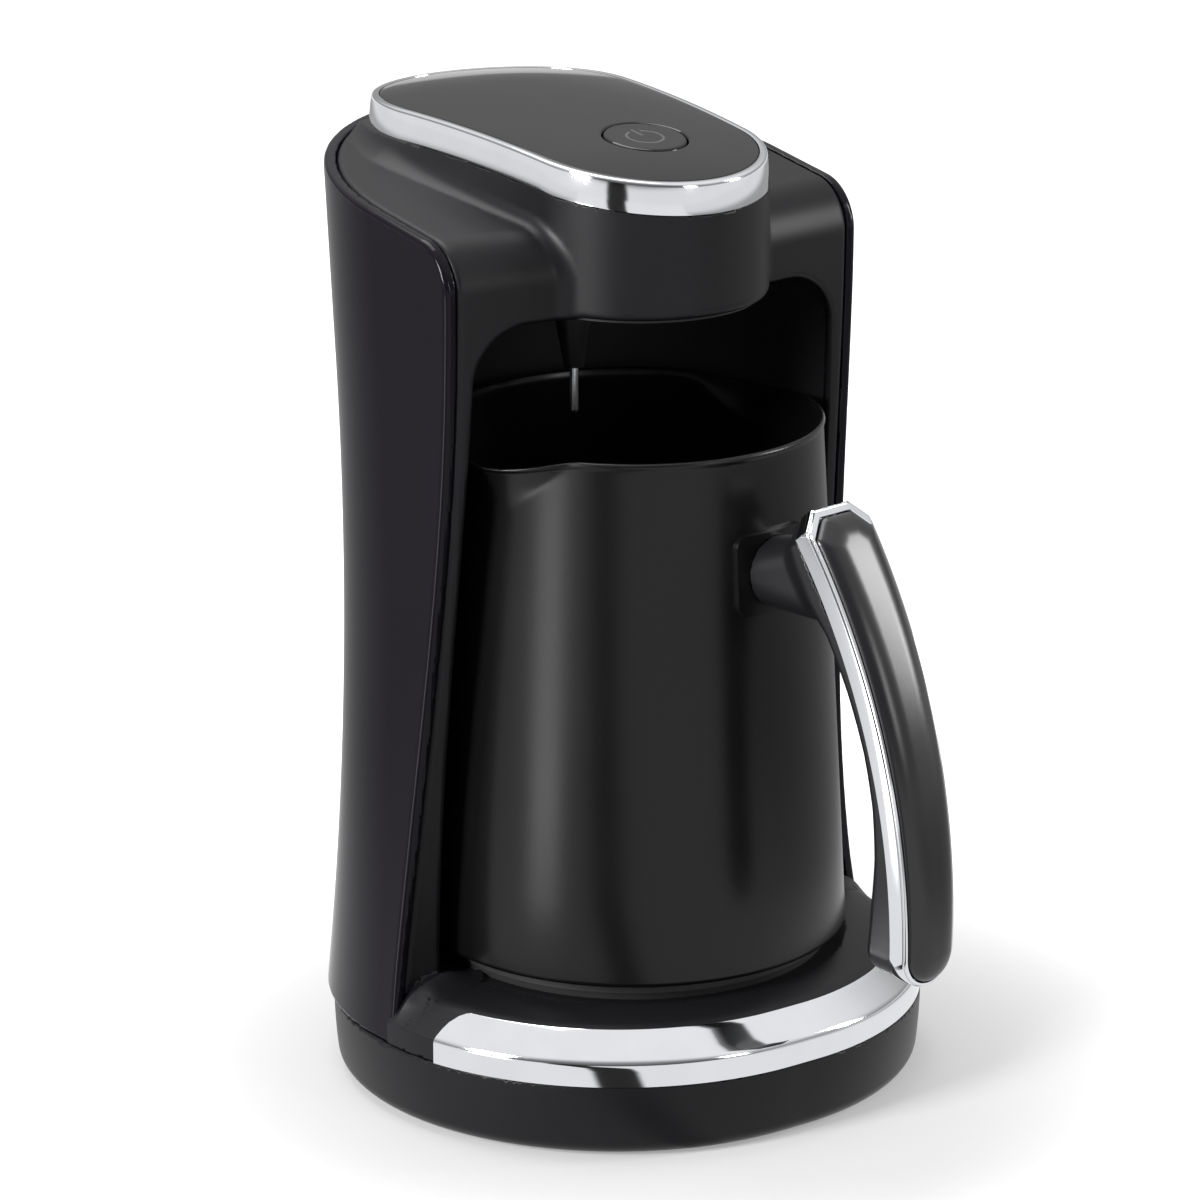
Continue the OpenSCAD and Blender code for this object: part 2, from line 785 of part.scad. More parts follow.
// The raised hood under the chrome ring, drawn in by i
module hood_form(i) {
    back_foot = shoulder_at(ring_back_y) - 1;
    hull() {
        translate([0, -head_y, shoulder_at(-head_y) - 3]) cylinder(r = head_r - i, h = 1, $fn = 48);
        translate([0, -head_y, ring_seat(-head_y) + 1]) cylinder(r = head_r - i, h = 1, $fn = 48);
        translate([0, ring_back_y, back_foot])
            cylinder(r = ring_back_r + hood_flare - i, h = 1, $fn = 48);
        translate([0, ring_back_y, ring_seat(ring_back_y) + 0.5])
            cylinder(r = ring_back_r - i, h = 1, $fn = 48);
    }
}

function ring_seat(y) = crown_z + sqrt(pow(ring_arc - ring_h, 2) - pow(ring_high_y - y, 2));

// Solid below the curved line on which the chrome ring sits
module below_crown(r) {
    translate([0, ring_high_y, crown_z]) rotate([0, 90, 0])
        cylinder(r = r, h = 140, center = true, $fn = 1440);
}

module front_housing() {
    shell_in = shell_t + seam;
    color("#232327") machine() difference() {
        intersection() {
            union() {
                intersection() {
                    body_form(shell_in);
                    front_form(0);
                }
                head_form(0);
                intersection() {
                    hood_form(0);
                    body_form(shell_in);
                }
            }
            below_crown(ring_arc - ring_h);
            translate([-big / 2, -big / 2, deck_under]) cube([big, big, big]);
        }
        intersection() {
            body_form(shell_in + housing_t);
            front_form(housing_t);
        }
        intersection() {
            body_form(shell_in - 1);
            front_form(housing_t);
            translate([-big / 2, 9, 0]) cube([big, big, bay_top + 4]);
        }
        head_form(housing_t);
        intersection() {
            hood_form(housing_t);
            body_form(shell_in + housing_t);
        }
        bay_form(0);
        intersection() {
            bay_form(liner_t + fit);
            front_form(housing_t);
        }
        deck_envelope();
    }
}

module bay_liner() {
    color("#1f1f23") machine() difference() {
        intersection() {
            bay_form(liner_t);
            front_form(housing_t + fit);
            body_form(shell_t + seam + 0.2);
        }
        bay_form(0);
        translate([0, -head_y, bay_top - 1]) cylinder(r = head_r - housing_t + fit, h = 10);
        deck_envelope();
        translate([-big / 2, -big / 2, 0]) cube([big, big, deck_top]);
    }
}

// ---------- Head ----------

floor_t = 2;
floor_screw_at = [for (a = [90, 210, 330]) [21 * cos(a), 21 * sin(a) - head_y]];

module head_floor() {
    color("#232327") machine() difference() {
        union() {
            translate([0, -head_y, bay_top]) cylinder(r = head_r - housing_t - fit, h = floor_t);
            for (p = floor_screw_at) translate([p[0], p[1], bay_top])
                cylinder(r = 3.4, h = 6);
        }
        for (p = floor_screw_at) translate([p[0], p[1], bay_top - 1]) {
            cylinder(r = screw_r + press_gap, h = 9);
            cylinder(r = 3, h = 3.2);
        }
        translate([-rod_x, rod_y, bay_top - 1]) cylinder(r = 2.6, h = 9);
    }
}

module floor_screws() {
    color("#8d9096") machine() for (p = floor_screw_at)
        translate([p[0], p[1], bay_top + 2.2]) mirror([0, 0, 1]) pan_screw(5.4, 2.6, 1.6);
}

module probe_holder() {
    color("#202024") machine() translate([-rod_x, rod_y, 0]) difference() {
        union() {
            translate([0, 0, holder_z])
                cylinder(r1 = rod_r + 1.3, r2 = 5.2, h = bay_top - holder_z);
            translate([0, 0, bay_top]) cylinder(r = 2.6 - fit, h = 8);
        }
        translate([0, 0, holder_z - 1]) cylinder(r = rod_r + fit, h = 60);
    }
}

module sensor_rod() {
    color("#c4c5c7") machine() translate([-rod_x, rod_y, 0]) {
        translate([0, 0, rod_tip + rod_r]) cylinder(r = rod_r, h = bay_top + 10 - rod_tip - rod_r);
        translate([0, 0, rod_tip + rod_r]) sphere(r = rod_r);
    }
}

// Outline of the chrome ring, drawn in by i
module ring_outline(i) {
    r1 = head_r - i;
    r2 = ring_back_r - i;
    translate([0, -head_y]) circle(r = r1, $fn = 240);
    translate([0, ring_back_y]) circle(r = r2, $fn = 240);
    s1 = r1 - side_blend;
    s2 = r2 - side_blend;
    polygon([[-s1 * cos(side_tilt), -head_y - s1 * sin(side_tilt)],
        [s1 * cos(side_tilt), -head_y - s1 * sin(side_tilt)],
        [s2 * cos(side_tilt), ring_back_y - s2 * sin(side_tilt)],
        [-s2 * cos(side_tilt), ring_back_y - s2 * sin(side_tilt)]]);
}

module ring_prism(i) {
    translate([0, 0, bay_top]) linear_extrude(height = 60) ring_outline(i);
}

module top_ring() {
    color("#d9dadd") machine() {
        intersection() {
            difference() {
                ring_prism(0);
                ring_prism(ring_w);
            }
            difference() {
                below_crown(ring_arc);
                below_crown(ring_arc - ring_h);
            }
        }
        intersection() {
            difference() {
                ring_prism(ring_w - 0.2);
                ring_prism(ring_w + 1.4);
            }
            difference() {
                below_crown(panel_under_r);
                below_crown(panel_under_r - 1.8);
            }
        }
    }
}

module at_button() {
    translate([0, ring_high_y, crown_z]) rotate([button_tilt, 0, 0])
        translate([0, 0, crown_r]) children();
}

panel_screw_at = [for (p = [[-19, 12], [19, 12], [-20, 48], [20, 48]]) p];

module top_panel() {
    color("#101013") machine() difference() {
        union() {
            intersection() {
                ring_prism(ring_w + fit);
                difference() {
                    panel_crown_solid();
                    below_crown(panel_under_r);
                }
            }
            for (p = panel_screw_at) translate([p[0], p[1], board_z])
                cylinder(r = 3, h = panel_under(p[1]) + 0.6 - board_z);
        }
        for (p = panel_screw_at) translate([p[0], p[1], board_z - 1])
            cylinder(r = screw_r + fit, h = 6);
        at_button() translate([0, 0, -20]) cylinder(r = button_r + 0.1, h = 40);
    }
}

function panel_under(y) = crown_z + sqrt(pow(panel_under_r, 2) - pow(ring_high_y - y, 2));

// Crowned across and along: an arc across, swept along the ring's long curve
module panel_crown_solid() {
    cross_r = (pow(head_r, 2) + pow(panel_crown, 2)) / (2 * panel_crown);
    swing(-ring_high_y, crown_z, 80, 100, 1440) intersection() {
        translate([crown_r - cross_r, 0]) circle(r = cross_r, $fn = 720);
        translate([ring_arc - 20, -40]) square([40, 80]);
    }
}

button_h = 3;
stub_h = 0.2;
stub_r = 2.4;
dome_r = 5.3;
switch_gap = 0.25;

module power_button() {
    color("#131316") machine() at_button() difference() {
        union() {
            translate([0, 0, -button_h]) cylinder(r = button_r, h = button_h - 0.3);
            translate([0, 0, -0.3]) cylinder(r1 = button_r, r2 = button_r - 0.3, h = 0.3);
            translate([0, 0, -button_h - stub_h]) cylinder(r = stub_r, h = 1);
        }
        translate([0, 0, 79.6]) sphere(r = 80, $fn = 360);
    }
}

// Silicone sleeve that pushes the button back up
module button_dome() {
    dome_top = button_z - button_h * cos(button_tilt) - dome_r * sin(button_tilt) - fit;
    color("#5a5a5e") machine() translate([0, -button_y, board_z])
        ring(dome_r, dome_r - 0.8, dome_top - board_z);
}

module control_board() {
    color("#1f5b3a") machine() difference() {
        intersection() {
            translate([0, 0, board_z - board_t]) linear_extrude(height = board_t)
                ring_outline(6.5);
            translate([-big / 2, -big / 2, 0]) cube([big, big / 2 + loom_y + 3, big]);
        }
        for (p = panel_screw_at) translate([p[0], p[1], board_z - 5])
            cylinder(r = screw_r + press_gap, h = 10);
    }
}

// Its stem ends just below the button's stub when the button is fully pressed
module button_switch() {
    stem_top = button_z - (button_h + stub_h + button_travel) * cos(button_tilt)
        - stub_r * sin(button_tilt) - switch_gap;
    color("#3c3c40") machine() translate([0, -button_y, board_z]) {
        translate([-3, -3, 0]) cube([6, 6, 1.8]);
        cylinder(r = 1.6, h = stem_top - board_z);
    }
}

module buzzer() {
    color("#0f0f10") machine() translate([0, 30, board_z]) difference() {
        cylinder(r = 6, h = 5);
        translate([0, 0, 4]) cylinder(r = 1, h = 2);
    }
}

module panel_screws() {
    color("#8d9096") machine() for (p = panel_screw_at)
        translate([p[0], p[1], board_z - board_t]) mirror([0, 0, 1]) pan_screw(5);
}

// ---------- Wiring held inside ----------

// The bundle runs up behind the bay's liner and bends forward to a board at either end
loom_y = bay_low + liner_t - pot_y + loom_r + 0.3;
loom_bend = 6;

module loom_elbow() {
    rotate_extrude(angle = 90) translate([loom_bend, 0]) circle(r = loom_r);
}

module wire_loom() {
    low = board_top + loom_bend + loom_r + slip;
    high = board_z - board_t - loom_bend - loom_r - 0.3;
    color("#b33c2e") machine() {
        translate([0, loom_y, low]) cylinder(r = loom_r, h = high - low);
        translate([0, loom_y - loom_bend, high]) rotate([90, 0, 90]) loom_elbow();
        translate([0, loom_y - loom_bend, low]) rotate([90, 0, 90]) rotate([0, 0, -90])
            loom_elbow();
    }
}

// ---------- Pot ----------

module pot_outside() {
    r0 = pot_radius(pot_edge);
    square([r0 - pot_edge, pot_edge]);
    translate([r0 - pot_edge, pot_edge]) circle(r = pot_edge);
    polygon([[0, pot_edge], [r0, pot_edge], [rim_r, pot_h - rim_bead], [0, pot_h - rim_bead]]);
}

module pot_inside() {
    polygon([[0, pot_wall + 0.4], [pot_r - pot_wall - 1.4, pot_wall + 0.4],
        [pot_radius(3) - pot_wall, 3.4], [rim_r - pot_wall, pot_h - rim_bead],
        [rim_r - pot_wall, pot_h + 1], [0, pot_h + 1]]);
}

// One spout: a cone that leans out of the wall, drawn in by i and ending at height top
module spout_form(i, top) {
    foot = pot_h - spout_h;
    r_foot = spout_core + pot_radius(foot) - rim_r - i - 0.3;
    r_rim = spout_core + spout_out - i;
    slope = (r_rim - r_foot) / spout_h;
    translate([rim_r - spout_core, 0, foot])
        cylinder(r1 = r_foot, r2 = r_foot + slope * (top - foot), h = top - foot);
}

module pot_body() {
    color("#1b1b1d") at_pot() translate([0, 0, pot_z]) difference() {
        union() {
            rotate_extrude($fn = 180) pot_outside();
            translate([0, 0, pot_h - rim_bead]) rotate_extrude($fn = 180)
                translate([rim_r - rim_bead, 0]) circle(r = rim_bead);
            for (s = [0, 180]) rotate([0, 0, s]) spout_form(0, pot_h - spout_dip);
        }
        rotate_extrude($fn = 180) pot_inside();
        for (s = [0, 180]) rotate([0, 0, s]) spout_form(pot_wall, pot_h + 6);
    }
}

neck_at = rim_z - neck_drop;
handle_screw_up = 4;
handle_screw_l = 12;
function wall_at(z) = pot_radius(z - pot_z);

module pot_bracket() {
    color("#1b1b1d") at_pot() intersection() {
        translate([0, 0, pot_z]) rotate_extrude($fn = 180) difference() {
            polygon([[20, pot_edge], [pot_r + bracket_t, pot_edge],
                [rim_r + bracket_t, pot_h], [20, pot_h]]);
            polygon([[10, pot_edge - 1], [pot_radius(pot_edge - 1) + fit, pot_edge - 1],
                [pot_radius(pot_h + 1) + fit, pot_h + 1], [10, pot_h + 1]]);
        }
        front_extrude(-pot_r - 10, -20) translate([0, neck_at]) difference() {
            rounded_square(bracket_w, bracket_h, 3);
            for (s = [-1, 1]) translate([0, s * handle_screw_up]) circle(r = screw_r + press_gap);
        }
    }
}

// ---------- Handle ----------

module handle_outline(i) {
    r = handle_end_w - i;
    w1 = handle_top_w - i;
    chamfer = 4;
    translate([0, handle_z0 + handle_end_w]) circle(r = r);
    polygon([[-r, handle_z0 + handle_end_w], [r, handle_z0 + handle_end_w],
        [w1, handle_z1 - 5 - i * 0.4], [w1 - chamfer, handle_z1 - i], [-w1 + chamfer, handle_z1 - i],
        [-w1, handle_z1 - 5 - i * 0.4]]);
}

// Slice between two arcs seen from the side, each with its centre and radius
module arc_slice(c1, z1, r1, c2, z2, r2, w) {
    rotate([90, 0, -90]) linear_extrude(height = w, center = true) difference() {
        translate([c1, z1]) circle(r = r1, $fn = 720);
        translate([c2, z2]) circle(r = r2, $fn = 720);
        translate([-big, 0]) square([big + 30, big]);
        translate([-big, -big]) square([2 * big, big]);
    }
}

module handle_frame() {
    color("#d9dadd") at_pot() intersection() {
        difference() {
            arc_slice(grip_c, grip_z, handle_edge_r, grip_c, grip_z, strip_r, 40);
            intersection() {
                arc_slice(grip_c, grip_z, grip_r + 5, grip_c, grip_z, handle_edge_r - insert_t, 40);
                front_extrude(-big / 2, 0) handle_outline(frame_rim);
            }
        }
        front_extrude(-big / 2, 0) handle_outline(0);
    }
}

module handle_insert() {
    color("#1e1e21") at_pot() intersection() {
        swing(grip_c, grip_z, -12, 46, 720) intersection() {
            translate([grip_r - insert_cross_r, 0]) circle(r = insert_cross_r, $fn = 240);
            translate([handle_edge_r - insert_t, -20]) square([20, 40]);
        }
        front_extrude(-big / 2, 0) handle_outline(frame_rim + fit);
    }
}

module neck_solid() {
    hull() {
        translate([0, -wall_at(neck_at) - bracket_t + 0.6, neck_at]) rotate([90, 0, 0])
            cylinder(r = neck_r, h = 1, $fn = 64);
        for (up = [0, neck_flare]) translate([0, -handle_reach + 38, neck_at + up])
            rotate([90, 0, 0]) cylinder(r = neck_r, h = 8, $fn = 64);
    }
}

module handle_grip() {
    color("#1a1a1c") at_pot() difference() {
        union() {
            intersection() {
                arc_slice(grip_c, grip_z, strip_r - fit, back_c, back_z, back_r, 40);
                front_extrude(-big / 2, 0) handle_outline(0.8);
            }
            difference() {
                neck_solid();
                arc_slice_front();
            }
        }
        translate([0, 0, pot_z]) rotate_extrude($fn = 180)
            polygon([[0, pot_edge], [pot_r + bracket_t + slip, pot_edge],
                [rim_r + bracket_t + slip, pot_h], [0, pot_h]]);
        for (s = [-1, 1]) translate([0, 0, neck_at + s * handle_screw_up]) rotate([90, 0, 0])
            cylinder(r = screw_r + fit, h = wall_at(neck_at) + handle_screw_l + 1);
    }
}

// Everything in front of the back of the chrome frame
module arc_slice_front() {
    arc_slice(grip_c, grip_z, grip_r + 40, grip_c, grip_z, strip_r - fit, 60);
}

module handle_screws() {
    color("#8d9096") at_pot() for (s = [-1, 1]) let (z = neck_at + s * handle_screw_up)
        translate([0, 0, z]) rotate([90, 0, 0]) translate([0, 0, wall_at(z) + slip])
            cylinder(r = screw_r, h = handle_screw_l);
}

base_bowl();
rubber_feet();
base_screws();
base_deck();
deck_trim();
hot_plate();
plate_gasket();
plate_clamp();
clamp_screws();
heating_element();
thermostat();
thermal_fuse();
power_board();
heater_relay();
power_transformer();
filter_capacitor();
mains_terminal();
board_screws();
cord_gland();
rear_shell();
shell_screws();
front_housing();
bay_liner();
head_floor();
floor_screws();
probe_holder();
sensor_rod();
top_ring();
top_panel();
power_button();
button_dome();
control_board();
button_switch();
buzzer();
panel_screws();
wire_loom();
pot_body();
pot_bracket();
handle_grip();
handle_frame();
handle_insert();
handle_screws();
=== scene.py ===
import math

import bpy
import numpy as np
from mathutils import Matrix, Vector


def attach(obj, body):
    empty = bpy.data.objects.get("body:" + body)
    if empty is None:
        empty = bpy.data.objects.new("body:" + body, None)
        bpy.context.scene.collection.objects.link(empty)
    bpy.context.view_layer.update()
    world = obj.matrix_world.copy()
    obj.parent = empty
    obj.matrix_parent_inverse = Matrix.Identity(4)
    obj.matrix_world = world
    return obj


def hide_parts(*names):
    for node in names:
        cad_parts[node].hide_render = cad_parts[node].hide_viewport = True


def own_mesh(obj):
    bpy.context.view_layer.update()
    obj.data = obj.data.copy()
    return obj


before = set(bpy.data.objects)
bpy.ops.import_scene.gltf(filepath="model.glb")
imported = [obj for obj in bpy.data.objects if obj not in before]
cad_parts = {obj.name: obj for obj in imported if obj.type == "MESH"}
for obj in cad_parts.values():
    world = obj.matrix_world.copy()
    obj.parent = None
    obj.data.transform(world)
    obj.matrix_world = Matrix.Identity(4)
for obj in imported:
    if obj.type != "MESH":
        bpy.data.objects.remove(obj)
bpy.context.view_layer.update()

# ---- Bowl of the base ----
# Satin black ABS, injection moulded in a tool with a fine spark-eroded grain.
# It carries everything else and is screwed to the deck from below.


def linear(hex_colour):
    """An sRGB hex colour as the linear RGBA that the shaders take."""
    channels = [int(hex_colour[i:i + 2], 16) / 255 for i in (1, 3, 5)]
    return [c / 12.92 if c <= 0.04045 else ((c + 0.055) / 1.055) ** 2.4 for c in channels] + [1.0]


def add(tree, kind, inputs=None, **settings):
    """Adds a node, with its settings and with each input set to a value or joined to a socket."""
    made = tree.nodes.new(kind)
    for key, value in settings.items():
        setattr(made, key, value)
    for key, value in (inputs or {}).items():
        if isinstance(value, bpy.types.NodeSocket):
            tree.links.new(value, made.inputs[key])
        else:
            made.inputs[key].default_value = value
    return made


def noise(tree, scale, detail, at=None):
    """Noise from 0 to 1 over the object's own coordinates, or over those of another socket."""
    at = at or add(tree, "ShaderNodeTexCoord").outputs["Object"]
    return add(tree, "ShaderNodeTexNoise", {"Vector": at, "Scale": scale, "Detail": detail}).outputs["Fac"]


def blended(tree, share, dark, pale):
    """The colour a share of the way from one hex colour to another."""
    return add(tree, "ShaderNodeMix", {"Factor": share, "A": linear(dark), "B": linear(pale)},
               data_type="RGBA").outputs["Result"]


def ramp(tree, value, start, end, low, high, shape="SMOOTHSTEP"):
    """A value carried from the span between start and end to the span between low and high."""
    return add(tree, "ShaderNodeMapRange", {"Value": value, "From Min": start, "From Max": end,
                                            "To Min": low, "To Max": high},
               interpolation_type=shape).outputs["Result"]


def bump(tree, height, strength, distance):
    """A normal roughened by a height."""
    return add(tree, "ShaderNodeBump", {"Height": height, "Strength": strength,
                                        "Distance": distance}).outputs["Normal"]


def finish_named(name):
    """An empty material by that name, and its node tree."""
    material = bpy.data.materials.new(name)
    material.use_nodes = True
    material.node_tree.nodes.clear()
    return material, material.node_tree


def shade(tree, inputs):
    """Ends a material in a Principled shader with these inputs."""
    skin = add(tree, "ShaderNodeBsdfPrincipled", inputs)
    add(tree, "ShaderNodeOutputMaterial", {"Surface": skin.outputs["BSDF"]})


def moulded_plastic(name, dark, pale, roughness, grain, depth, specular):
    """Moulded plastic: grain is the size of the tool's texture in metres, depth how high it stands."""
    material, tree = finish_named(name)
    flow = noise(tree, 28.0, 3.0)
    shade(tree, {
        "Base Color": blended(tree, flow, dark, pale), "IOR": 1.52, "Specular IOR Level": specular,
        "Roughness": ramp(tree, flow, 0.3, 0.7, roughness * 0.94, roughness * 1.06, "LINEAR"),
        "Normal": bump(tree, noise(tree, 1 / grain, 2.0), 0.35, depth)})
    return material


def dress(material, *nodes):
    """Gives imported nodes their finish."""
    for name in nodes:
        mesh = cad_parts[name].data
        mesh.materials.clear()
        mesh.materials.append(material)


def common(first, *others):
    """Distance field of what lies in all of the fields."""
    for other in others:
        first = np.maximum(first, other)
    return first


def without(solid, *cutters):
    """Distance field of a solid without what lies in all of the cutters."""
    return np.maximum(solid, -common(*cutters))


def rounded_and(a, b, r):
    """Distance field of what lies in both fields, with the edge between them rounded off by r."""
    return np.minimum(-r, np.maximum(a, b)) + np.hypot(np.maximum(r + a, 0), np.maximum(r + b, 0))


def rounded_or(a, b, r):
    """Distance field of what lies in either field, with the corner between them filled by r."""
    return np.maximum(r, np.minimum(a, b)) - np.hypot(np.maximum(r - a, 0), np.maximum(r - b, 0))


def gradient(field, points, step):
    """The slope of a field at points, one row of three for each."""
    rise = [field(*(points + d).T) - field(*(points - d).T) for d in np.eye(3) * step]
    return np.stack(rise, 1) / (2 * step)


def mesh_of(name, points, faces):
    """A mesh from points in mm over the base's middle."""
    mesh = bpy.data.meshes.new(name)
    mesh.from_pydata(((np.asarray(points) + [0, base_y, 0]) / 1000).tolist(), [], faces)
    return mesh


def smooth(mesh, material):
    """Shades a mesh smooth, in one material."""
    mesh.polygons.foreach_set("use_smooth", [True] * len(mesh.polygons))
    mesh.materials.append(material)


def linked(name, data):
    """A new object in the scene."""
    made = bpy.data.objects.new(name, data)
    bpy.context.scene.collection.objects.link(made)
    return made


def applied(made):
    """Gives an object the mesh that its modifiers make, in their place."""
    mesh = bpy.data.meshes.new_from_object(made.evaluated_get(bpy.context.evaluated_depsgraph_get()))
    made.modifiers.clear()
    made.data = mesh
    mesh.name = made.name
    return mesh


def carved(name, field, low, high, cell, body, material, kept=1.0):
    """A closed smooth mesh of the surface where field, in mm over the base's middle, is zero.

    Where kept is under 1, flat places are thinned out until that share of the faces is left."""
    axes = [np.arange(a, b + cell, cell) for a, b in zip(low, high)]
    grid = field(*np.meshgrid(*axes, indexing="ij"))
    inside = grid < 0
    corners = [(i, j, k) for i in (0, 1) for j in (0, 1) for k in (0, 1)]
    size = [n - 1 for n in grid.shape]
    count = sum(inside[i:size[0] + i, j:size[1] + j, k:size[2] + k].astype(np.int8) for i, j, k in corners)
    cells = np.argwhere((count > 0) & (count < 8))
    number = -np.ones(size, np.int64)
    number[tuple(cells.T)] = np.arange(len(cells))

    # Each cell that the surface crosses gets one point, in the middle of where it cuts the cell's edges
    values = np.stack([grid[tuple((cells + c).T)] for c in corners], 1)
    place, hits = np.zeros((len(cells), 3)), np.zeros(len(cells))
    for a, first in enumerate(corners):
        for b, second in enumerate(corners):
            if b > a and sum(abs(p - q) for p, q in zip(first, second)) == 1:
                cut = (values[:, a] < 0) != (values[:, b] < 0)
                share = values[cut, a] / (values[cut, a] - values[cut, b])
                place[cut] += np.array(first) + share[:, None] * (np.array(second) - np.array(first))
                hits[cut] += 1
    points = (cells + place / hits[:, None]) * cell + np.array(low)

    # The points then move along the field's slope onto the surface
    for _ in range(4):
        slope = gradient(field, points, 0.01)
        step = field(*points.T)[:, None] * slope / np.maximum((slope ** 2).sum(1), 0.2)[:, None]
        points -= np.clip(step, -0.35 * cell, 0.35 * cell)

    # Each grid edge that the surface crosses gets one face between the four cells around it
    faces = []
    for axis in range(3):
        u, v = [(1, 2), (2, 0), (0, 1)][axis]
        lower = [slice(1, n) for n in size]
        lower[axis] = slice(0, size[axis])
        upper = list(lower)
        upper[axis] = slice(1, size[axis] + 1)
        start, end = inside[tuple(lower)], inside[tuple(upper)]
        for crossing, turned_over in ((start & ~end, False), (~start & end, True)):
            at = np.argwhere(crossing) + [0 if a == axis else 1 for a in range(3)]
            du, dv = np.eye(3, dtype=int)[u], np.eye(3, dtype=int)[v]
            ring = [at - du - dv, at - dv, at, at - du]
            quad = np.stack([number[tuple(r.T)] for r in ring], 1)
            faces.append(quad[:, ::-1] if turned_over else quad)
    mesh = mesh_of(name, points, np.concatenate(faces).tolist())
    made = linked(name, mesh)
    if kept < 1:
        made.modifiers.new("thinning", "DECIMATE").ratio = kept
        mesh = applied(made)
        flat = np.empty(3 * len(mesh.vertices))
        mesh.vertices.foreach_get("co", flat)
        points = flat.reshape(-1, 3) * 1000 - [0, base_y, 0]
    smooth(mesh, material)
    slope = gradient(field, points, 0.05)
    mesh.normals_split_custom_set_from_vertices((slope / np.linalg.norm(slope, axis=1)[:, None]).tolist())
    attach(made, body)
    return made


# Satin ABS: a deep black that scatters a wide soft sheen
satin_abs = moulded_plastic("satin_black_abs", "#101012", "#151518", 0.4, 0.00035, 0.00003, 0.19)

base_y = 10.195  # how far the base's middle lies behind the origin; all sizes of shapes are in mm
base_r, base_straight, base_draft = 66.8, 3.2, 1.3
bowl_top, bowl_foot, bowl_wall, bowl_floor = 17.7, 0.5, 2.2, 2.9
boss_x, boss_y, boss_r, boss_top, boss_hole_r = 50, 29, 4, 14, 1.75
screw_seat, screw_recess_r = 7.0, 3.2
post_x, post_y, post_away, post_r, post_top, post_hole_r = 26, 40, 11, 2.6, 9, 1.1
foot_x, foot_y, foot_seat_r, foot_seat_z = 32, 42, 5.6, 2.2
inlet_z, inlet_r, inlet_front = 10.6, 5.3, 58


def outline_field(x, y):
    """Distance outside the plan of the base: two half circles with short straights between them."""
    return np.hypot(np.maximum(np.abs(x) - base_straight, 0), y) - base_r


def bowl_field(x, y, z):
    """A shallow bowl, well rounded towards its floor, with its bosses, recesses and cord inlet."""
    out = outline_field(x, y) + base_draft * (np.clip(bowl_top - z, 0, bowl_top) / bowl_top) ** 2
    solid = rounded_and(rounded_and(out, bowl_foot - z, 3.5), z - bowl_top + 0.02, 0.3)
    shell = without(solid, rounded_and(out + bowl_wall, bowl_foot + bowl_floor - z, 4.0))
    boss = np.hypot(np.abs(x) - boss_x, np.abs(y) - boss_y)
    post = np.hypot(np.abs(x) - post_x, np.abs(y - post_y) - post_away)
    shell = np.minimum(shell, common(boss - boss_r, 2.0 - z, z - boss_top))
    shell = np.minimum(shell, common(post - post_r, 2.0 - z, z - post_top))
    shell = without(shell, np.minimum(common(boss - screw_recess_r, z - screw_seat), boss - boss_hole_r))
    shell = without(shell, post - post_hole_r, 3.4 - z)
    shell = without(shell, np.hypot(np.abs(x) - foot_x, np.abs(y) - foot_y) - foot_seat_r, z - foot_seat_z)
    return without(shell, np.hypot(x, z - inlet_z) - inlet_r, inlet_front - y)


bowl = carved("bowl_moulding", bowl_field, (-72, -69, -1), (72, 69, 20), 0.9, "maker", satin_abs)
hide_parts("base_bowl")

# ---- Deck of the base ----
# Satin black ABS. Smooth from the band up, with a shallow dish around the plate,
# and cut away where the chrome band is let into its edge.

bay_middle, deck_z, deck_foot, deck_wall = -2.0, 31.5, 17.75, 2.2
dish_out, dish_in, plate_hole = 53.0, 46.5, 44.25
band_edge, band_rise, band_run = 23.1, 5.8, 6.8
band_end, band_corner, band_depth = 17.0, 4.5, 1.1
fall_z, fall_out, fall = 31.0, 14.8, 0.22
case_half, case_flare, flare_z, case_middle = 58.0, 11.5, 170.0, 1.9
flare_r = ((flare_z - bowl_top) ** 2 + case_flare ** 2) / (2 * case_flare)
lean = math.radians(4.8)


def casing_field(x, y, z, inward):
    """The casing: round at the back, straight towards the front, flared at its foot, leaning back."""
    back = (y - case_middle) * math.cos(lean) - z * math.sin(lean)
    up = (y - case_middle) * math.sin(lean) + z * math.cos(lean)
    drop = np.clip(flare_z - up, 0, flare_z)
    half = case_half + flare_r - np.sqrt(flare_r ** 2 - drop ** 2)
    return np.hypot(x, np.maximum(back, 0)) - half + inward


def deck_field(x, y, z):
    """The deck's top with its edge, which falls gently and then steeply to the band's upright part."""
    out = outline_field(x, y)
    # The factors bring both slopes close to true distances
    steep = 0.76 * (z - band_edge + out * band_rise / band_run)
    gentle = 0.95 * (z - fall_z + (out + fall_out) * fall)
    return rounded_and(rounded_and(z - deck_z, gentle, 1.5), steep, 0.8)


def band_zone(x, y, gap):
    """What lies under the chrome band, well inside its rounded ends."""
    return rounded_and(y + band_end + gap, -band_run - outline_field(x, y) + gap, band_corner)


def deck_piece(x, y, z):
    """The deck, hollow from below, open for the plate and behind the casing's front edge."""
    out = outline_field(x, y)
    edge = deck_field(x, y, z)
    axis = np.hypot(x, y - bay_middle)
    share = np.clip((dish_out - axis) / (dish_out - dish_in), 0, 1)
    dish = z - deck_z + share ** 2 * (3 - 2 * share)
    solid = common(edge, dish, deck_foot - z, out + 0.3)
    skin = np.maximum(edge, out)
    solid = without(solid, band_zone(x, y, 2.0), -band_depth - skin)
    solid = without(solid, skin + deck_wall + band_depth, z - deck_z + deck_wall)
    solid = rounded_and(solid, plate_hole - axis, 0.4)
    return without(solid, -1.0 - y, -casing_field(x, y, z, 2.7))


deck = carved("deck_moulding", deck_piece, (-72, -72, 15), (72, 72, 34), 0.85, "maker", satin_abs)
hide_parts("base_deck")

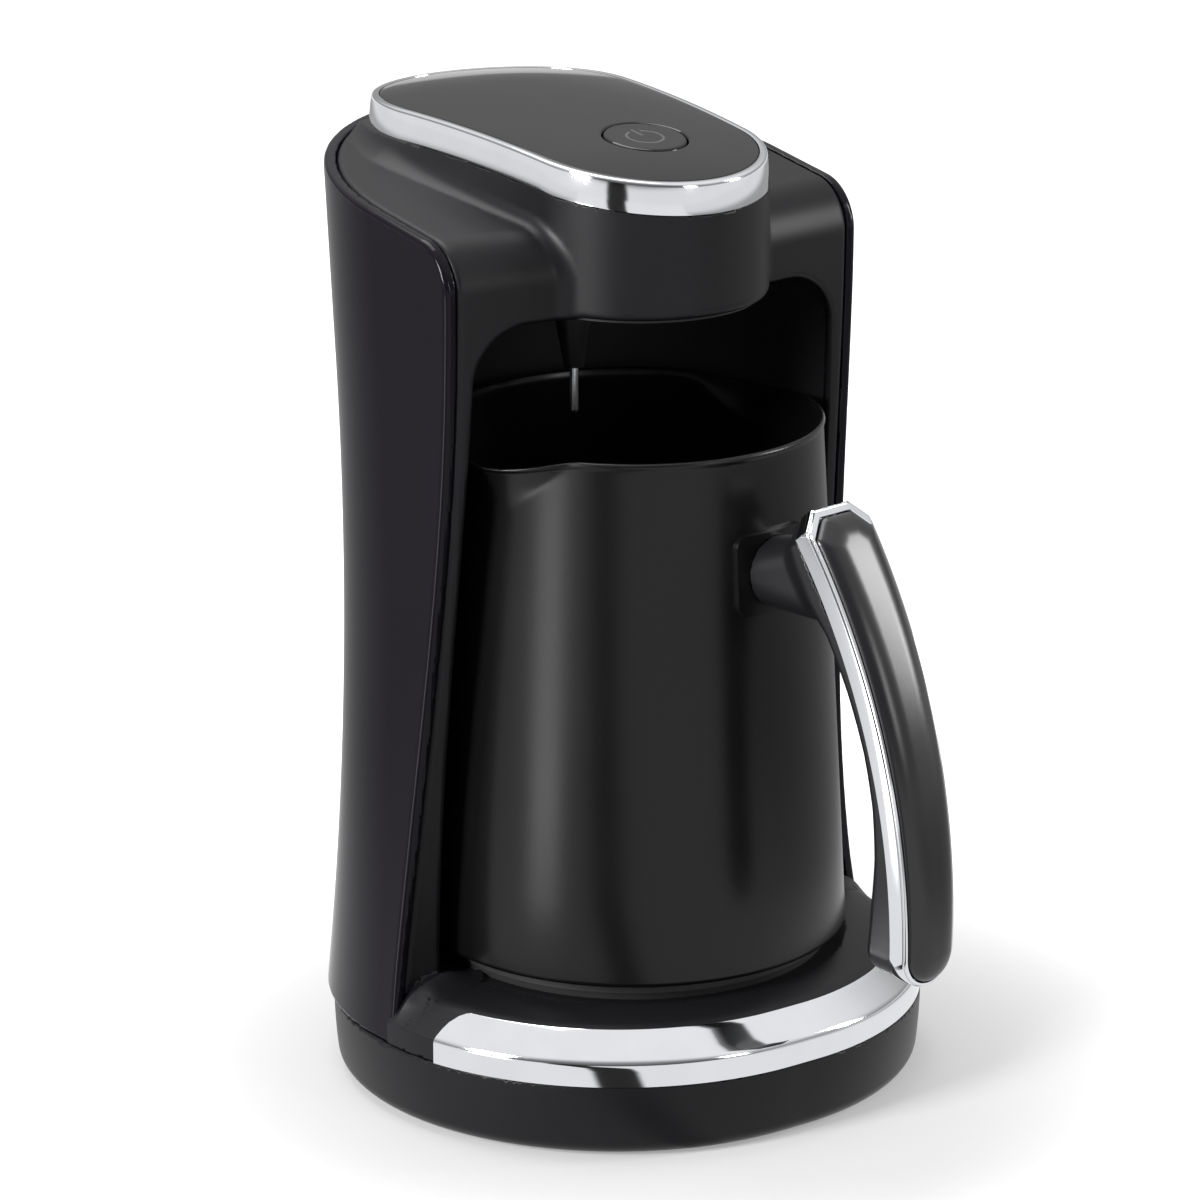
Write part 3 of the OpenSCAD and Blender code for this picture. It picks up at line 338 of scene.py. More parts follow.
# ---- Feet and cord gland ----
# Black rubber, moulded and slightly chalky; the feet are pressed into the bowl,
# the gland grips the cord where it enters the base.


def calc(tree, operation, *values):
    """The result of a math node on numbers or sockets."""
    return add(tree, "ShaderNodeMath", dict(enumerate(values)), operation=operation).outputs[0]


def stacked_tree(name, stages, ribs):
    """A Geometry Nodes tree that sets one turned shape on every point, along the point's "facing".

    The shape grows from a disc of the input Radius, stage by stage: each stage is a share of the input
    Height and the width that its end has beside the stage before. Ribs is the number of its flats."""
    tree = bpy.data.node_groups.new(name, "GeometryNodeTree")
    for label, kind in (("Points", "Geometry"), ("Radius", "Float"), ("Height", "Float"),
                        ("Finish", "Material")):
        tree.interface.new_socket(label, in_out="INPUT", socket_type="NodeSocket" + kind)
    tree.interface.new_socket("Mesh", in_out="OUTPUT", socket_type="NodeSocketGeometry")

    def step(kind, output, inputs, **settings):
        return add(tree, "GeometryNode" + kind, inputs, **settings).outputs[output]

    given = add(tree, "NodeGroupInput").outputs
    disc = step("MeshCircle", "Mesh", {"Vertices": ribs, "Radius": given["Radius"]}, fill_type="NGON")
    shape, top = disc, None
    for rise, width in stages:
        length = calc(tree, "MULTIPLY", given["Height"], rise)
        inputs = {"Mesh": shape, "Offset Scale": length, "Individual": False}
        if top:
            inputs["Selection"] = top
        grown = add(tree, "GeometryNodeExtrudeMesh", inputs, mode="FACES").outputs
        top = grown["Top"]
        shape = step("ScaleElements", "Geometry", {"Geometry": grown["Mesh"], "Selection": top, "Scale": width},
                     domain="FACE")
    joined = add(tree, "GeometryNodeJoinGeometry")
    for part in (step("FlipFaces", "Mesh", {"Mesh": disc}), shape):
        tree.links.new(part, joined.inputs["Geometry"])
    closed = step("MergeByDistance", "Geometry", {"Geometry": joined.outputs["Geometry"], "Distance": 1e-6})
    facing = step("InputNamedAttribute", "Attribute", {"Name": "facing"}, data_type="FLOAT_VECTOR")
    turn = add(tree, "FunctionNodeAlignRotationToVector", {"Vector": facing}, axis="Z").outputs["Rotation"]
    placed = step("InstanceOnPoints", "Instances", {"Points": given["Points"], "Instance": closed,
                                                    "Rotation": turn})
    real = step("RealizeInstances", "Geometry", {"Geometry": placed})
    dressed = step("SetMaterial", "Geometry", {"Geometry": real, "Material": given["Finish"]})
    add(tree, "NodeGroupOutput", {"Mesh": dressed})
    return tree


def repeated(name, tree, points, facings, radius, height, finish, body):
    """One mesh with the tree's shape at each point, in mm over the base's middle."""
    cloud = mesh_of(name, points, [])
    facing = cloud.attributes.new("facing", "FLOAT_VECTOR", "POINT")
    facing.data.foreach_set("vector", [c for f in facings for c in f])
    made = linked(name, cloud)
    modifier = made.modifiers.new("repeat", "NODES")
    modifier.node_group = tree
    sockets = {item.name: item.identifier for item in tree.interface.items_tree if item.in_out == "INPUT"}
    modifier[sockets["Radius"]] = radius / 1000
    modifier[sockets["Height"]] = height / 1000
    modifier[sockets["Finish"]] = finish
    applied(made)
    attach(made, body)
    return made


rubber = moulded_plastic("black_rubber", "#161616", "#1f1f1f", 0.75, 0.0006, 0.00006, 0.3)
dress(rubber, "cord_gland", "plate_gasket")
foot_tree = stacked_tree("rubber_foot", ((0.12, 1.06), (0.16, 1.05), (0.72, 1.0)), 48)
feet = repeated("moulded_feet", foot_tree, [(x, y, 0) for x in (-foot_x, foot_x) for y in (-foot_y, foot_y)],
                [(0, 0, 1)] * 4, 4.92, 2.2, rubber, "maker")
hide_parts("rubber_feet")

# ---- Screws, clamp ring and thermal fuse ----
# Zinc-plated steel: cold-formed, with the slightly cloudy blue-white of passivated zinc.
# Each screw is a pan head with a pressed hollow for the driver, over its shank.

zinc, tree = finish_named("zinc_plated_steel")
cloud = noise(tree, 420.0, 4.0)
shade(tree, {"Base Color": blended(tree, cloud, "#a9adb2", "#c9ccd0"), "Metallic": 1.0,
             "Roughness": ramp(tree, cloud, 0.0, 1.0, 0.26, 0.42, "LINEAR")})
dress(zinc, "board_screws", "clamp_screws", "panel_screws", "handle_screws", "plate_clamp", "thermal_fuse")

head_middle, floor_screw_reach, shell_screw_out, shell_screw_z = -4.0, 21, 67.21, 25.1
shell_screw_y = case_middle + math.tan(lean) * shell_screw_z
shell_screw_ways = [(side * math.sin(math.radians(20)), math.cos(math.radians(20)), 0) for side in (-1, 1)]
floor_screw_turns = [math.radians(degrees) for degrees in (90, 210, 330)]
shank_r, base_shank, floor_shank, shell_shank = 1.5, 15.0, 5.4, 9.0
base_ends = [(x, y, screw_seat + base_shank) for x in (-boss_x, boss_x) for y in (-boss_y, boss_y)]
floor_ends = [(floor_screw_reach * math.cos(a), floor_screw_reach * math.sin(a) + head_middle, 192.3)
              for a in floor_screw_turns]
shell_ends = [((shell_screw_out - shell_shank) * way[0],
               shell_screw_y + (shell_screw_out - shell_shank) * way[1], shell_screw_z)
              for way in shell_screw_ways]
# For each node: height and radius of the head, length of the shank, shank ends and ways the heads face
screw_sets = {"base_screws": (1.8, 2.8, base_shank, base_ends, [(0, 0, -1)] * 4),
              "floor_screws": (1.6, 2.6, floor_shank, floor_ends, [(0, 0, -1)] * 3),
              "shell_screws": (1.1, 2.8, shell_shank, shell_ends, shell_screw_ways)}
for node, (head_h, head_out, shank, points, ways) in screw_sets.items():
    whole = shank + head_h
    screw_tree = stacked_tree("pan_head_" + node, (
        (shank / whole, 1.0), (0.0, head_out / shank_r), (0.55 * head_h / whole, 1.0),
        (0.3 * head_h / whole, 0.88), (0.15 * head_h / whole, 0.8), (0.0, 0.5),
        (-0.55 * head_h / whole, 0.85)), 36)
    screws = repeated("turned_" + node, screw_tree, points, ways, shank_r, whole, zinc, "maker")
    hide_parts(node)

# ---- Chrome band ----
# ABS plated with bright chrome: mirror-like, faintly blue, with the slight waviness of a plated moulding.
# It is clipped into the deck's edge; its upright part rolls over softly into the slope.

chrome, tree = finish_named("bright_chrome_plating")
haze = noise(tree, 90.0, 3.0)
shade(tree, {"Base Color": blended(tree, haze, "#dcdde1", "#e8e9ec"), "Metallic": 1.0,
             "Roughness": ramp(tree, haze, 0.0, 1.0, 0.05, 0.1, "LINEAR"),
             "Normal": bump(tree, noise(tree, 55.0, 1.0), 0.03, 0.0004)})


def lofted(name, loops, body, material, fold=None):
    """A closed mesh through loops of equal length in mm.

    The last loop is joined to the first, or else both are closed by strips folded over at point fold."""
    count, total = len(loops[0]), len(loops)
    points = np.concatenate([np.asarray(loop) for loop in loops])
    faces = [[i * count + j, i * count + (j + 1) % count, (i + 1) % total * count + (j + 1) % count,
              (i + 1) % total * count + j] for i in range(total - (fold is not None)) for j in range(count)]
    for start, turned_over in ((0, True), ((total - 1) * count, False)) if fold is not None else ():
        for k in range(fold, fold + count // 2):
            strip = [start + n % count for n in (k, k + 1, 2 * fold - k - 1, 2 * fold - k)]
            strip = [n for i, n in enumerate(strip) if n not in strip[:i]]
            faces.append(strip[::-1] if turned_over else strip)
    a, b, c, d = (points[[f[n] for f in faces]] for n in (0, 1, 2, -1))
    if (np.cross(a, b) * c).sum() + (np.cross(a, c) * d).sum() < 0:
        faces = [f[::-1] for f in faces]
    mesh = mesh_of(name, points, faces)
    smooth(mesh, material)
    mesh.set_sharp_from_angle(angle=math.radians(40))
    made = linked(name, mesh)
    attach(made, body)
    return made


band_skin, band_foot = 1.3, 17.72
fold_at = np.linspace(0, 1, 9)[:, None]
rolled = ((1 - fold_at) ** 2 * [0, 22.3] + 2 * fold_at * (1 - fold_at) * [0, 23.4]
          + fold_at ** 2 * [-0.9, 24.17])
outer = np.concatenate([[[0, band_foot], [0, 19.5], [0, 21.5]], rolled,
                        [[-2.4, 25.45], [-4.0, 26.81], [-5.6, 28.18], [-6.4, 28.86],
                         [-6.66, 29.04], [-6.85, 29.0]]])
along_band = np.gradient(outer, axis=0)
along_band /= np.linalg.norm(along_band, axis=1)[:, None]
inner = outer + band_skin * along_band[:, ::-1] * [-1, 1]
inner[:, 1] = np.maximum(inner[:, 1], band_foot)
profile = np.concatenate([outer, inner[::-1]])
inward = np.clip(-profile[:, 0] - band_run + band_corner, 0, band_corner)
stop_y = band_end + band_corner - np.sqrt(band_corner ** 2 - inward ** 2)
sides = base_r + profile[:, 0]
stop = np.arccos(stop_y / sides)
band_loops = []
for share in np.linspace(-1, 1, 241):
    turn = stop * share
    band_loops.append(np.column_stack([base_straight * np.clip(turn / 0.048, -1, 1) + sides * np.sin(turn),
                                       -sides * np.cos(turn), profile[:, 1]]))
band = lofted("chrome_band", band_loops, "maker", chrome, fold=len(outer) - 1)
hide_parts("deck_trim")

# ---- Hot plate ----
# Cast aluminium with a dark heat-proof coat; faint turning rings show in its top.
# A rubber gasket lies under its rim, and a steel ring clamps it into the deck from below.

cast_plate, tree = finish_named("coated_cast_aluminium")
place = add(tree, "ShaderNodeTexCoord").outputs["Object"]
to_plate_middle = (0.0, -0.0082, 0.0)
centred = add(tree, "ShaderNodeMapping", {"Vector": place, "Location": to_plate_middle})
turning = add(tree, "ShaderNodeTexWave", {"Vector": centred.outputs["Vector"], "Scale": 160.0,
                                          "Distortion": 0.4}, wave_type="RINGS", rings_direction="Z")
shade(tree, {"Base Color": blended(tree, noise(tree, 900.0, 3.0), "#1d1d1e", "#2d2d2f"),
             "Roughness": 0.55, "Normal": bump(tree, turning.outputs["Fac"], 0.25, 0.00005)})
dress(cast_plate, "hot_plate")

# ---- Pot ----
# Drawn steel with a baked matt coating, slightly pebbled. Its rim is rolled outwards
# into a bead, and two spouts are pressed out of the wall, left and right of the handle.


def turned(name, rings, closed_at, body, material):
    """A closed mesh from rings of equal length in mm, each end closed by a fan at a given point."""
    count, top = len(rings[0]), (len(rings) - 1) * len(rings[0])
    around = [(j, (j + 1) % count) for j in range(count)]
    faces = [(i + j, i + k, i + count + k, i + count + j) for i in range(0, top, count) for j, k in around]
    faces += [(top + count, k, j) for j, k in around]
    faces += [(top + count + 1, top + j, top + k) for j, k in around]
    mesh = mesh_of(name, np.concatenate([*rings, closed_at]), faces)
    smooth(mesh, material)
    made = linked(name, mesh)
    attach(made, body)
    return made


pot_r, rim_r, pot_foot, pot_h, pot_wall, pot_floor = 50.0, 43.4, 34.7, 121.6, 1.2, 1.6
foot_round, floor_round, bead_r, pot_turn = 1.4, 6, 0.8, math.radians(7)
spout_h, spout_out, spout_dip, spout_half = 14.0, 5.2, 3.1, math.radians(27)
angles = np.linspace(0, 2 * math.pi, 480, endpoint=False)


def pot_ring(radius, height, outward):
    """One ring of the pot, at a height over its foot, pressed out and dipped where the spouts are."""
    off = np.abs((angles + math.pi / 2) % math.pi - math.pi / 2)
    rise_up = min(max((height - pot_h + spout_h) / spout_h, 0), 1)
    width = spout_half * (0.25 + 0.75 * rise_up)
    arc = np.cos(math.pi / 2 * np.minimum(off / width, 2))
    push = 0.5 * (arc + np.sqrt(arc ** 2 + 0.01)) - 0.0025
    press = spout_out * rise_up ** 1.5 * np.where(off < 1.5 * width, push, 0)
    sink = np.cos(math.pi / 2 * np.minimum(off / spout_half / 1.15, 1)) ** 1.5
    level = height - spout_dip * rise_up ** 2 * sink
    reach = radius + press + outward
    turn = angles + pot_turn
    return np.stack([reach * np.cos(turn), reach * np.sin(turn) + bay_middle, level + pot_foot], 1)


def wall_r(height):
    """Radius of the pot's wall at a height over its foot."""
    return pot_r - (pot_r - rim_r) * max(height - foot_round, 0) / (pot_h - foot_round)


spout_levels = np.linspace(106, pot_h - 2.2, 22)
rings = [pot_ring(pot_r - foot_round + foot_round * math.sin(a), foot_round - foot_round * math.cos(a), 0)
         for a in np.linspace(0, math.pi / 2, 6)]
rings += [pot_ring(wall_r(h), h, 0) for h in (20, 40, 60, 80, 100, *spout_levels)]
rings += [pot_ring(rim_r, pot_h - bead_r + bead_r * math.sin(a), -bead_r + bead_r * (math.cos(a) + 0.55))
          for a in np.linspace(-1.1, math.pi - 0.6, 12)]
rings += [pot_ring(wall_r(h) - pot_wall, h, 0) for h in (*spout_levels[::-1], 100, 80, 60, 40, 20, 8)]
rings += [pot_ring(pot_r - pot_wall - floor_round + floor_round * math.cos(a),
                   pot_floor + floor_round - floor_round * math.sin(a), 0)
          for a in np.linspace(0.2, math.pi / 2, 6)]
pot_coating = moulded_plastic("matt_baked_coating", "#09090a", "#0d0d0e", 0.265, 0.0005, 0.00003, 0.27)
pot = turned("coffee_pot", rings, [(0, bay_middle, pot_foot), (0, bay_middle, pot_foot + pot_floor)], "pot",
             pot_coating)
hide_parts("pot_body")
dress(pot_coating, "pot_bracket")

# ---- Heating element and thermostat under the plate ----
# A steel-sheathed tube, straw and grey from its own heat, and a white ceramic thermostat.
# Both sit against the plate's underside.

sheath, tree = finish_named("heat_tinted_steel")
shade(tree, {"Base Color": blended(tree, noise(tree, 60.0, 4.0), "#6f6257", "#8d8b8a"),
             "Metallic": 1.0, "Roughness": 0.38})
dress(sheath, "heating_element")
dress(moulded_plastic("unglazed_ceramic", "#cfc9b8", "#ddd8c9", 0.6, 0.0003, 0.00002, 0.4), "thermostat")

# ---- Circuit boards, the parts on them and their wires ----
# Glass-fibre boards with green solder mask, and moulded, taped, dipped or sleeved components.
# The power board is screwed down in the base, the control board under the panel.

for finish, dark, pale, roughness, grain, depth, nodes in (
        ("green_solder_mask", "#10492c", "#1a5f3b", 0.35, 0.0012, 0.00003, ("power_board", "control_board")),
        ("blue_relay_case", "#1f4790", "#2a55a2", 0.4, 0.0005, 0.00002, ("heater_relay",)),
        ("yellow_winding_tape", "#b98f1c", "#caa02b", 0.45, 0.0008, 0.00003, ("power_transformer",)),
        ("dipped_red_lacquer", "#7d2720", "#8f3128", 0.25, 0.0009, 0.00002, ("filter_capacitor",)),
        ("green_terminal_nylon", "#1f6b40", "#2a7b4c", 0.45, 0.0005, 0.00002, ("mains_terminal",)),
        ("grey_switch_body", "#37373b", "#434347", 0.5, 0.0005, 0.00002, ("button_switch",)),
        ("black_buzzer_case", "#0e0e0f", "#161617", 0.45, 0.0005, 0.00002, ("buzzer",))):
    dress(moulded_plastic(finish, dark, pale, roughness, grain, depth, 0.5), *nodes)
dress(moulded_plastic("red_wire_sleeve", "#9b2a1f", "#ad3428", 0.5, 0.0008, 0.00004, 0.4), "wire_loom")

# ---- Front housing ----
# Satin ABS in one moulding: two pillars, arch, shoulders, raised hood and round head.
# Its faces run into each other in wide soft fillets, and its foot sweeps out onto the deck.

splay, rise = math.radians(6.9), math.radians(8.8)
shoulder_z, corner_r, edge_top, edge_waist, waist_z = 204.9, 10.0, 10.6, 1.5, 40.0
corner_z = shoulder_z + math.tan(rise) * (corner_r - edge_top) - corner_r / math.cos(rise)
head_r, head_foot, hood_r, hood_middle, hood_flare = 29.5, 184.7, 33.0, 46.0, 5.6
crown_z, crown_middle, seat_r = -274.6, 52.0, 491.2
bay_low, bay_high, bay_corner = 54.7, 51.2, 13.0
hood_foot, hood_foot_rise, hood_top, hood_top_rise = 201.3, 9.7, 214.4, 2.7
toe_out, toe_h, sweep_behind, sweep_in_front = 1.5, 22.3, 0.5, 9.0
housing_wall, inside_shell = 2.4, 3.0


def front_edge(z):
    """How far forwards the front face stands at a height, with its waist and its toe."""
    share = (np.clip(z, waist_z, corner_z) - waist_z) / (corner_z - waist_z)
    edge = (edge_top - edge_waist) / 2 * np.cos(math.pi * share) - (edge_top + edge_waist) / 2
    return edge - toe_out * (np.clip(waist_z - z, 0, waist_z) / toe_h) ** 2


def front_field(along, z, inward):
    """The front face, rounded into the shoulders, where along is the way back."""
    above = (z - shoulder_z - math.tan(rise) * along) * math.cos(rise)
    return rounded_and(front_edge(z) - along + inward, above + inward, corner_r - inward)


def capsule(x, y, near, far):
    """Distance outside the plan of head and hood: circles of radius near and far, joined by tangents."""
    length = hood_middle - head_middle
    tilt = (near - far) / length
    level = np.sqrt(1 - tilt ** 2)
    across, along = np.abs(x), y - head_middle
    turn = along * level - across * tilt
    side = across * level + along * tilt - near
    return np.where(turn < 0, np.hypot(across, along) - near,
                    np.where(turn > level * length, np.hypot(across, along - length) - far, side))


def hood_field(x, y, z, inward):
    """The raised hood that carries the ring, wider at its foot towards the back."""
    share = np.clip((y - head_middle) / (hood_middle - head_middle), 0, 1)
    foot, top = hood_foot + hood_foot_rise * share, hood_top + hood_top_rise * share
    flare = hood_flare * np.clip((top - z) / (top - foot), 0, 1.1)
    return np.maximum(capsule(x, y, head_r - inward, hood_r - inward + flare), foot - 1 - z)


def bay_field(x, y, z, outward):
    """The bay around the pot: a cone with a flat rounded ceiling."""
    radius = bay_low - (bay_low - bay_high) * np.clip((z - deck_z) / (head_foot - bay_corner - deck_z), 0, 1)
    return rounded_and(np.hypot(x, y - bay_middle) - radius - outward, z - head_foot - outward,
                       bay_corner + outward)


def housing_field(x, y, z):
    """Pillars, hood and head in one, cut by the bay, swept out onto the deck and hollow."""
    inner_casing = casing_field(x, y, z, inside_shell)
    behind_wall = casing_field(x, y, z, inside_shell + housing_wall)
    along = y * math.cos(splay) - (np.abs(x) - case_half + 1) * math.sin(splay)
    head = np.hypot(x, y - head_middle) - head_r
    pillars = rounded_and(inner_casing, front_field(along, z, 0), 1.4)
    hood = np.maximum(hood_field(x, y, z, 0), inner_casing)
    outside = rounded_or(pillars, np.minimum(hood, rounded_and(head, head_foot - z, 3.0)), 3.0)
    outside = rounded_and(np.maximum(outside, inner_casing), -bay_field(x, y, z, 0), 1.6)
    deck_top = deck_field(x, y, z)
    sweep = sweep_behind + (sweep_in_front - sweep_behind) * np.clip((-y - 1.0) / 3, 0, 1)
    swept = rounded_or(outside, deck_top - 0.08, sweep)
    outside = common(swept, outside - sweep - 0.4, -0.9 - deck_top)
    outside = common(outside, np.where(y < -1, outline_field(x, y) + 0.25, inner_casing),
                     np.hypot(y - crown_middle, z - crown_z) - seat_r)
    inner_front = front_field(along, z, housing_wall)
    hollow = np.maximum(behind_wall, inner_front)
    hollow = np.minimum(hollow, common(casing_field(x, y, z, inside_shell - 1), inner_front, 9 - y,
                                       z - head_foot - 4))
    hollow = np.minimum(hollow, np.maximum(hood_field(x, y, z, housing_wall), behind_wall))
    hollow = np.minimum(hollow, head + housing_wall + np.maximum(head_foot - 1 - z, 0) * 4)
    recess = np.maximum(bay_field(x, y, z, 1.85), inner_front)
    return without(outside, np.minimum(hollow, recess))


housing = carved("housing_moulding", housing_field, (-72, -36, 20), (72, 80, 219), 0.85, "maker", satin_abs)
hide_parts("front_housing")

# ---- Rear shell ----
# High-gloss black ABS with a slight plum tint, moulded in a polished tool.
# Its edges are rounded by the tool; it wraps the housing from behind and stands on the bowl.

shell_wall, lip_top, shell_screw_hole_r, shell_screw_seat_r = 2.9, 19.9, 1.6, 3.1


def shell_field(x, y, z):
    """The casing's skin behind its front edge, with the ring's seat cut out of its top."""
    side = front_field(y, z, 0)
    skin = rounded_and(casing_field(x, y, z, 0), side, 1.3)
    skin = rounded_and(skin, -casing_field(x, y, z, shell_wall), 0.4)
    lip = common(casing_field(x, y, z, 0.5), side, z - lip_top, -5 - outline_field(x, y))
    skin = np.minimum(skin, lip)
    near = np.clip((y - head_middle) / (hood_middle - head_middle), 0, 1)
    ring = (np.hypot(x, y - head_middle - (hood_middle - head_middle) * near)
            - head_r - (hood_r - head_r) * near - 0.1)
    seat = seat_r - 0.1 - np.hypot(y - crown_middle, z - crown_z)
    skin = rounded_and(without(skin, ring, seat), deck_foot - z, 0.6)
    for way in shell_screw_ways:
        out = x * way[0] + (y - shell_screw_y) * way[1]
        off = np.hypot(x * way[1] - (y - shell_screw_y) * way[0], z - shell_screw_z)
        sunk = np.maximum(off - shell_screw_seat_r, shell_screw_out - out)
        skin = without(skin, np.minimum(off - shell_screw_hole_r, sunk), 60 - out)
    return skin


gloss_abs = moulded_plastic("gloss_black_abs", "#0d0b10", "#110e15", 0.12, 0.004, 0.00001, 0.12)
shell = carved("glossy_shell", shell_field, (-72, -14, 15), (72, 82, 219), 0.8, "maker", gloss_abs, kept=0.5)
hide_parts("rear_shell")

# ---- Bay liner, head floor and holder of the rod ----
# Black ABS like the housing's, with a coarser grain on the two covers: the liner closes the
# bay behind the pot, and the floor closes the head, screwed on from below.

dress(satin_abs, "probe_holder")
dress(moulded_plastic("grained_black_abs", "#1d1d1f", "#232326", 0.45, 0.0006, 0.00004, 0.2),
      "bay_liner", "head_floor")

# ---- Sensor rod ----
# Drawn stainless steel, 2 mm thick, polished along its length.
# Its upper end is held in the tapered holder under the head.

rod_steel, tree = finish_named("drawn_stainless_steel")
place = add(tree, "ShaderNodeTexCoord").outputs["Object"]
stretched = add(tree, "ShaderNodeMapping", {"Vector": place, "Scale": (1.0, 1.0, 0.02)}).outputs["Vector"]
polish = ramp(tree, noise(tree, 5000.0, 2.0, stretched), 0.0, 1.0, 0.18, 0.32, "LINEAR")
shade(tree, {"Base Color": linear("#c3c4c6"), "Metallic": 1.0, "Roughness": polish})
dress(rod_steel, "sensor_rod")

# ---- Chrome ring ----
# ABS plated with bright chrome. Its outside leans in a little towards the top, as the
# tool needs, and a ledge inside it carries the panel.

ring_lean = math.asin((hood_r - head_r) / (hood_middle - head_middle))
front_arc = np.linspace(-ring_lean, -math.pi + ring_lean, 160)
back_arc = np.linspace(math.pi + ring_lean, -ring_lean, 160)


def ring_loop(inset, arc_r):
    """The ring's outline drawn in by inset, lifted onto an arc of radius arc_r seen from the side."""
    front, back = (np.stack([np.cos(arc) * (r - inset), np.sin(arc) * (r - inset) + middle], 1)
                   for arc, r, middle in ((front_arc, head_r, head_middle), (back_arc, hood_r, hood_middle)))
    steps = np.linspace(0, 1, 40, endpoint=False)[1:, None]
    flat = np.concatenate([front, front[-1] + steps * (back[0] - front[-1]), back,
                           back[-1] + steps * (front[0] - back[-1])])[::-1]
    return np.column_stack([flat, crown_z + np.sqrt(arc_r ** 2 - (flat[:, 1] - crown_middle) ** 2)])


ring = lofted("chrome_ring", [ring_loop(*at) for at in (
    (0.0, 491.2), (0.0, 491.6), (0.3, 494.4), (0.62, 497.2), (0.7, 497.6), (0.86, 497.86), (1.12, 498.0),
    (2.2, 498.0), (2.42, 497.92), (2.5, 497.7), (2.5, 495.75), (3.9, 495.75), (3.9, 494.0), (2.5, 494.0),
    (2.5, 491.2))], "maker", chrome)
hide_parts("top_ring")

# ---- Top panel and power button ----
# Piano-black acrylic, moulded and polished: crowned in the middle, flush with the ring
# at its edge. The button sits in a rounded opening and carries the usual power sign.

button_middle, button_r, cap_h, dish_depth, hole_r = -6.0, 9.55, 2.65, 0.25, 9.7
panel_edge, panel_t, panel_round, hole_round = 2.6, 2.1, 0.3, 0.8
panel_r, crown_h, crown_reach = 497.9, 1.9, 27


def panel_top(x, y):
    """Height of the crowned panel over the ground."""
    inner = np.clip((-capsule(x, y, head_r, hood_r) - panel_edge) / crown_reach, 0, 1)
    arc = panel_r + crown_h * (1 - (1 - inner) ** 2)
    return crown_z + np.sqrt(arc ** 2 - (y - crown_middle) ** 2)


around = np.linspace(0, 2 * math.pi, 360, endpoint=False)


def round_loop(radius, drop):
    """A loop around the button at a radius, or one for each angle, some way under the panel's top."""
    x, y = np.cos(around) * radius, np.sin(around) * radius + button_middle
    return np.column_stack([x, y, panel_top(x, y) - drop])


# The panel's edge as seen from the button's middle, one reach for each angle
reach = np.full(360, 12.0)
for _ in range(60):
    x, y = np.cos(around) * reach, np.sin(around) * reach + button_middle
    reach += -capsule(x, y, head_r, hood_r) - panel_edge

corner = np.linspace(0, math.pi / 2, 6)
piano_acrylic = moulded_plastic("piano_black_acrylic", "#08080a", "#0b0b0d", 0.07, 0.006, 0.00001, 0.3)
loops = [round_loop(hole_r, panel_t), round_loop(hole_r, 1.4)]
loops += [round_loop(hole_r + hole_round - hole_round * math.cos(a), hole_round - hole_round * math.sin(a))
          for a in corner]
loops += [round_loop(hole_r + hole_round + (reach - hole_r - hole_round - panel_round) * t, 0)
          for t in np.linspace(0, 1, 36)[1:]]
loops += [round_loop(reach - panel_round + panel_round * math.sin(a),
                     panel_round - panel_round * math.cos(a)) for a in corner[1:]]
loops += [round_loop(hole_r + (reach - hole_r) * t, panel_t) for t in np.linspace(1, 0, 24)[:-1]]
panel = lofted("crowned_panel", loops, "maker", piano_acrylic)
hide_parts("top_panel")


def vector(tree, operation, *values):
    """The result of a vector math node: a number for a length or a dot product, else a vector."""
    made = add(tree, "ShaderNodeVectorMath", dict(enumerate(values)), operation=operation)
    return made.outputs["Value" if operation in ("LENGTH", "DOT_PRODUCT") else "Vector"]


# The power sign: an open ring with a bar standing in its gap
sign_r, sign_half, gap_half, bar_middle, bar_half = 0.0042, 0.00032, 0.0014, 0.0031, 0.0022
button_acrylic = moulded_plastic("printed_black_acrylic", "#08080a", "#0b0b0d", 0.07, 0.006, 0.00001, 0.3)
tree = button_acrylic.node_tree
place = add(tree, "ShaderNodeTexCoord").outputs["Object"]
off = vector(tree, "SUBTRACT", place, (0.0, (base_y + button_middle) / 1000, 0.0))
parts = add(tree, "ShaderNodeSeparateXYZ", {0: off}).outputs
level = add(tree, "ShaderNodeCombineXYZ", {"X": parts["X"], "Y": parts["Y"]}).outputs["Vector"]
in_ring = calc(tree, "COMPARE", vector(tree, "LENGTH", level), sign_r, sign_half)
aside = calc(tree, "ABSOLUTE", parts["X"])
out_of_gap = calc(tree, "MAXIMUM", calc(tree, "GREATER_THAN", aside, gap_half),
                  calc(tree, "LESS_THAN", parts["Y"], 0.0))
open_ring = calc(tree, "MULTIPLY", in_ring, out_of_gap)
bar = calc(tree, "MULTIPLY", calc(tree, "LESS_THAN", aside, sign_half),
           calc(tree, "COMPARE", parts["Y"], bar_middle, bar_half))
skin = next(n for n in tree.nodes if n.type == "BSDF_PRINCIPLED")
printed = add(tree, "ShaderNodeMix", {"Factor": calc(tree, "MAXIMUM", open_ring, bar),
                                      "A": skin.inputs["Base Color"].links[0].from_socket,
                                      "B": linear("#4a4a4d")}, data_type="RGBA")
tree.links.new(printed.outputs["Result"], skin.inputs["Base Color"])

rings = [round_loop(r, cap_h) for r in (2.0, 5.0, 8.0, button_r)] + [round_loop(button_r, 1.0)]
rings += [round_loop(button_r - hole_round + hole_round * math.cos(a), hole_round - hole_round * math.sin(a))
          for a in corner]
rings += [round_loop(r, dish_depth * (1 - (r / (button_r - hole_round)) ** 2))
          for r in (8.0, 7.0, 6.0, 5.0, 4.0, 3.0, 2.0, 1.0, 0.4)]
top = float(panel_top(np.array(0.0), np.array(button_middle)))
button = turned("power_button_cap", rings,
                [(0, button_middle, top - cap_h), (0, button_middle, top - dish_depth)], "button",
                button_acrylic)
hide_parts("power_button")

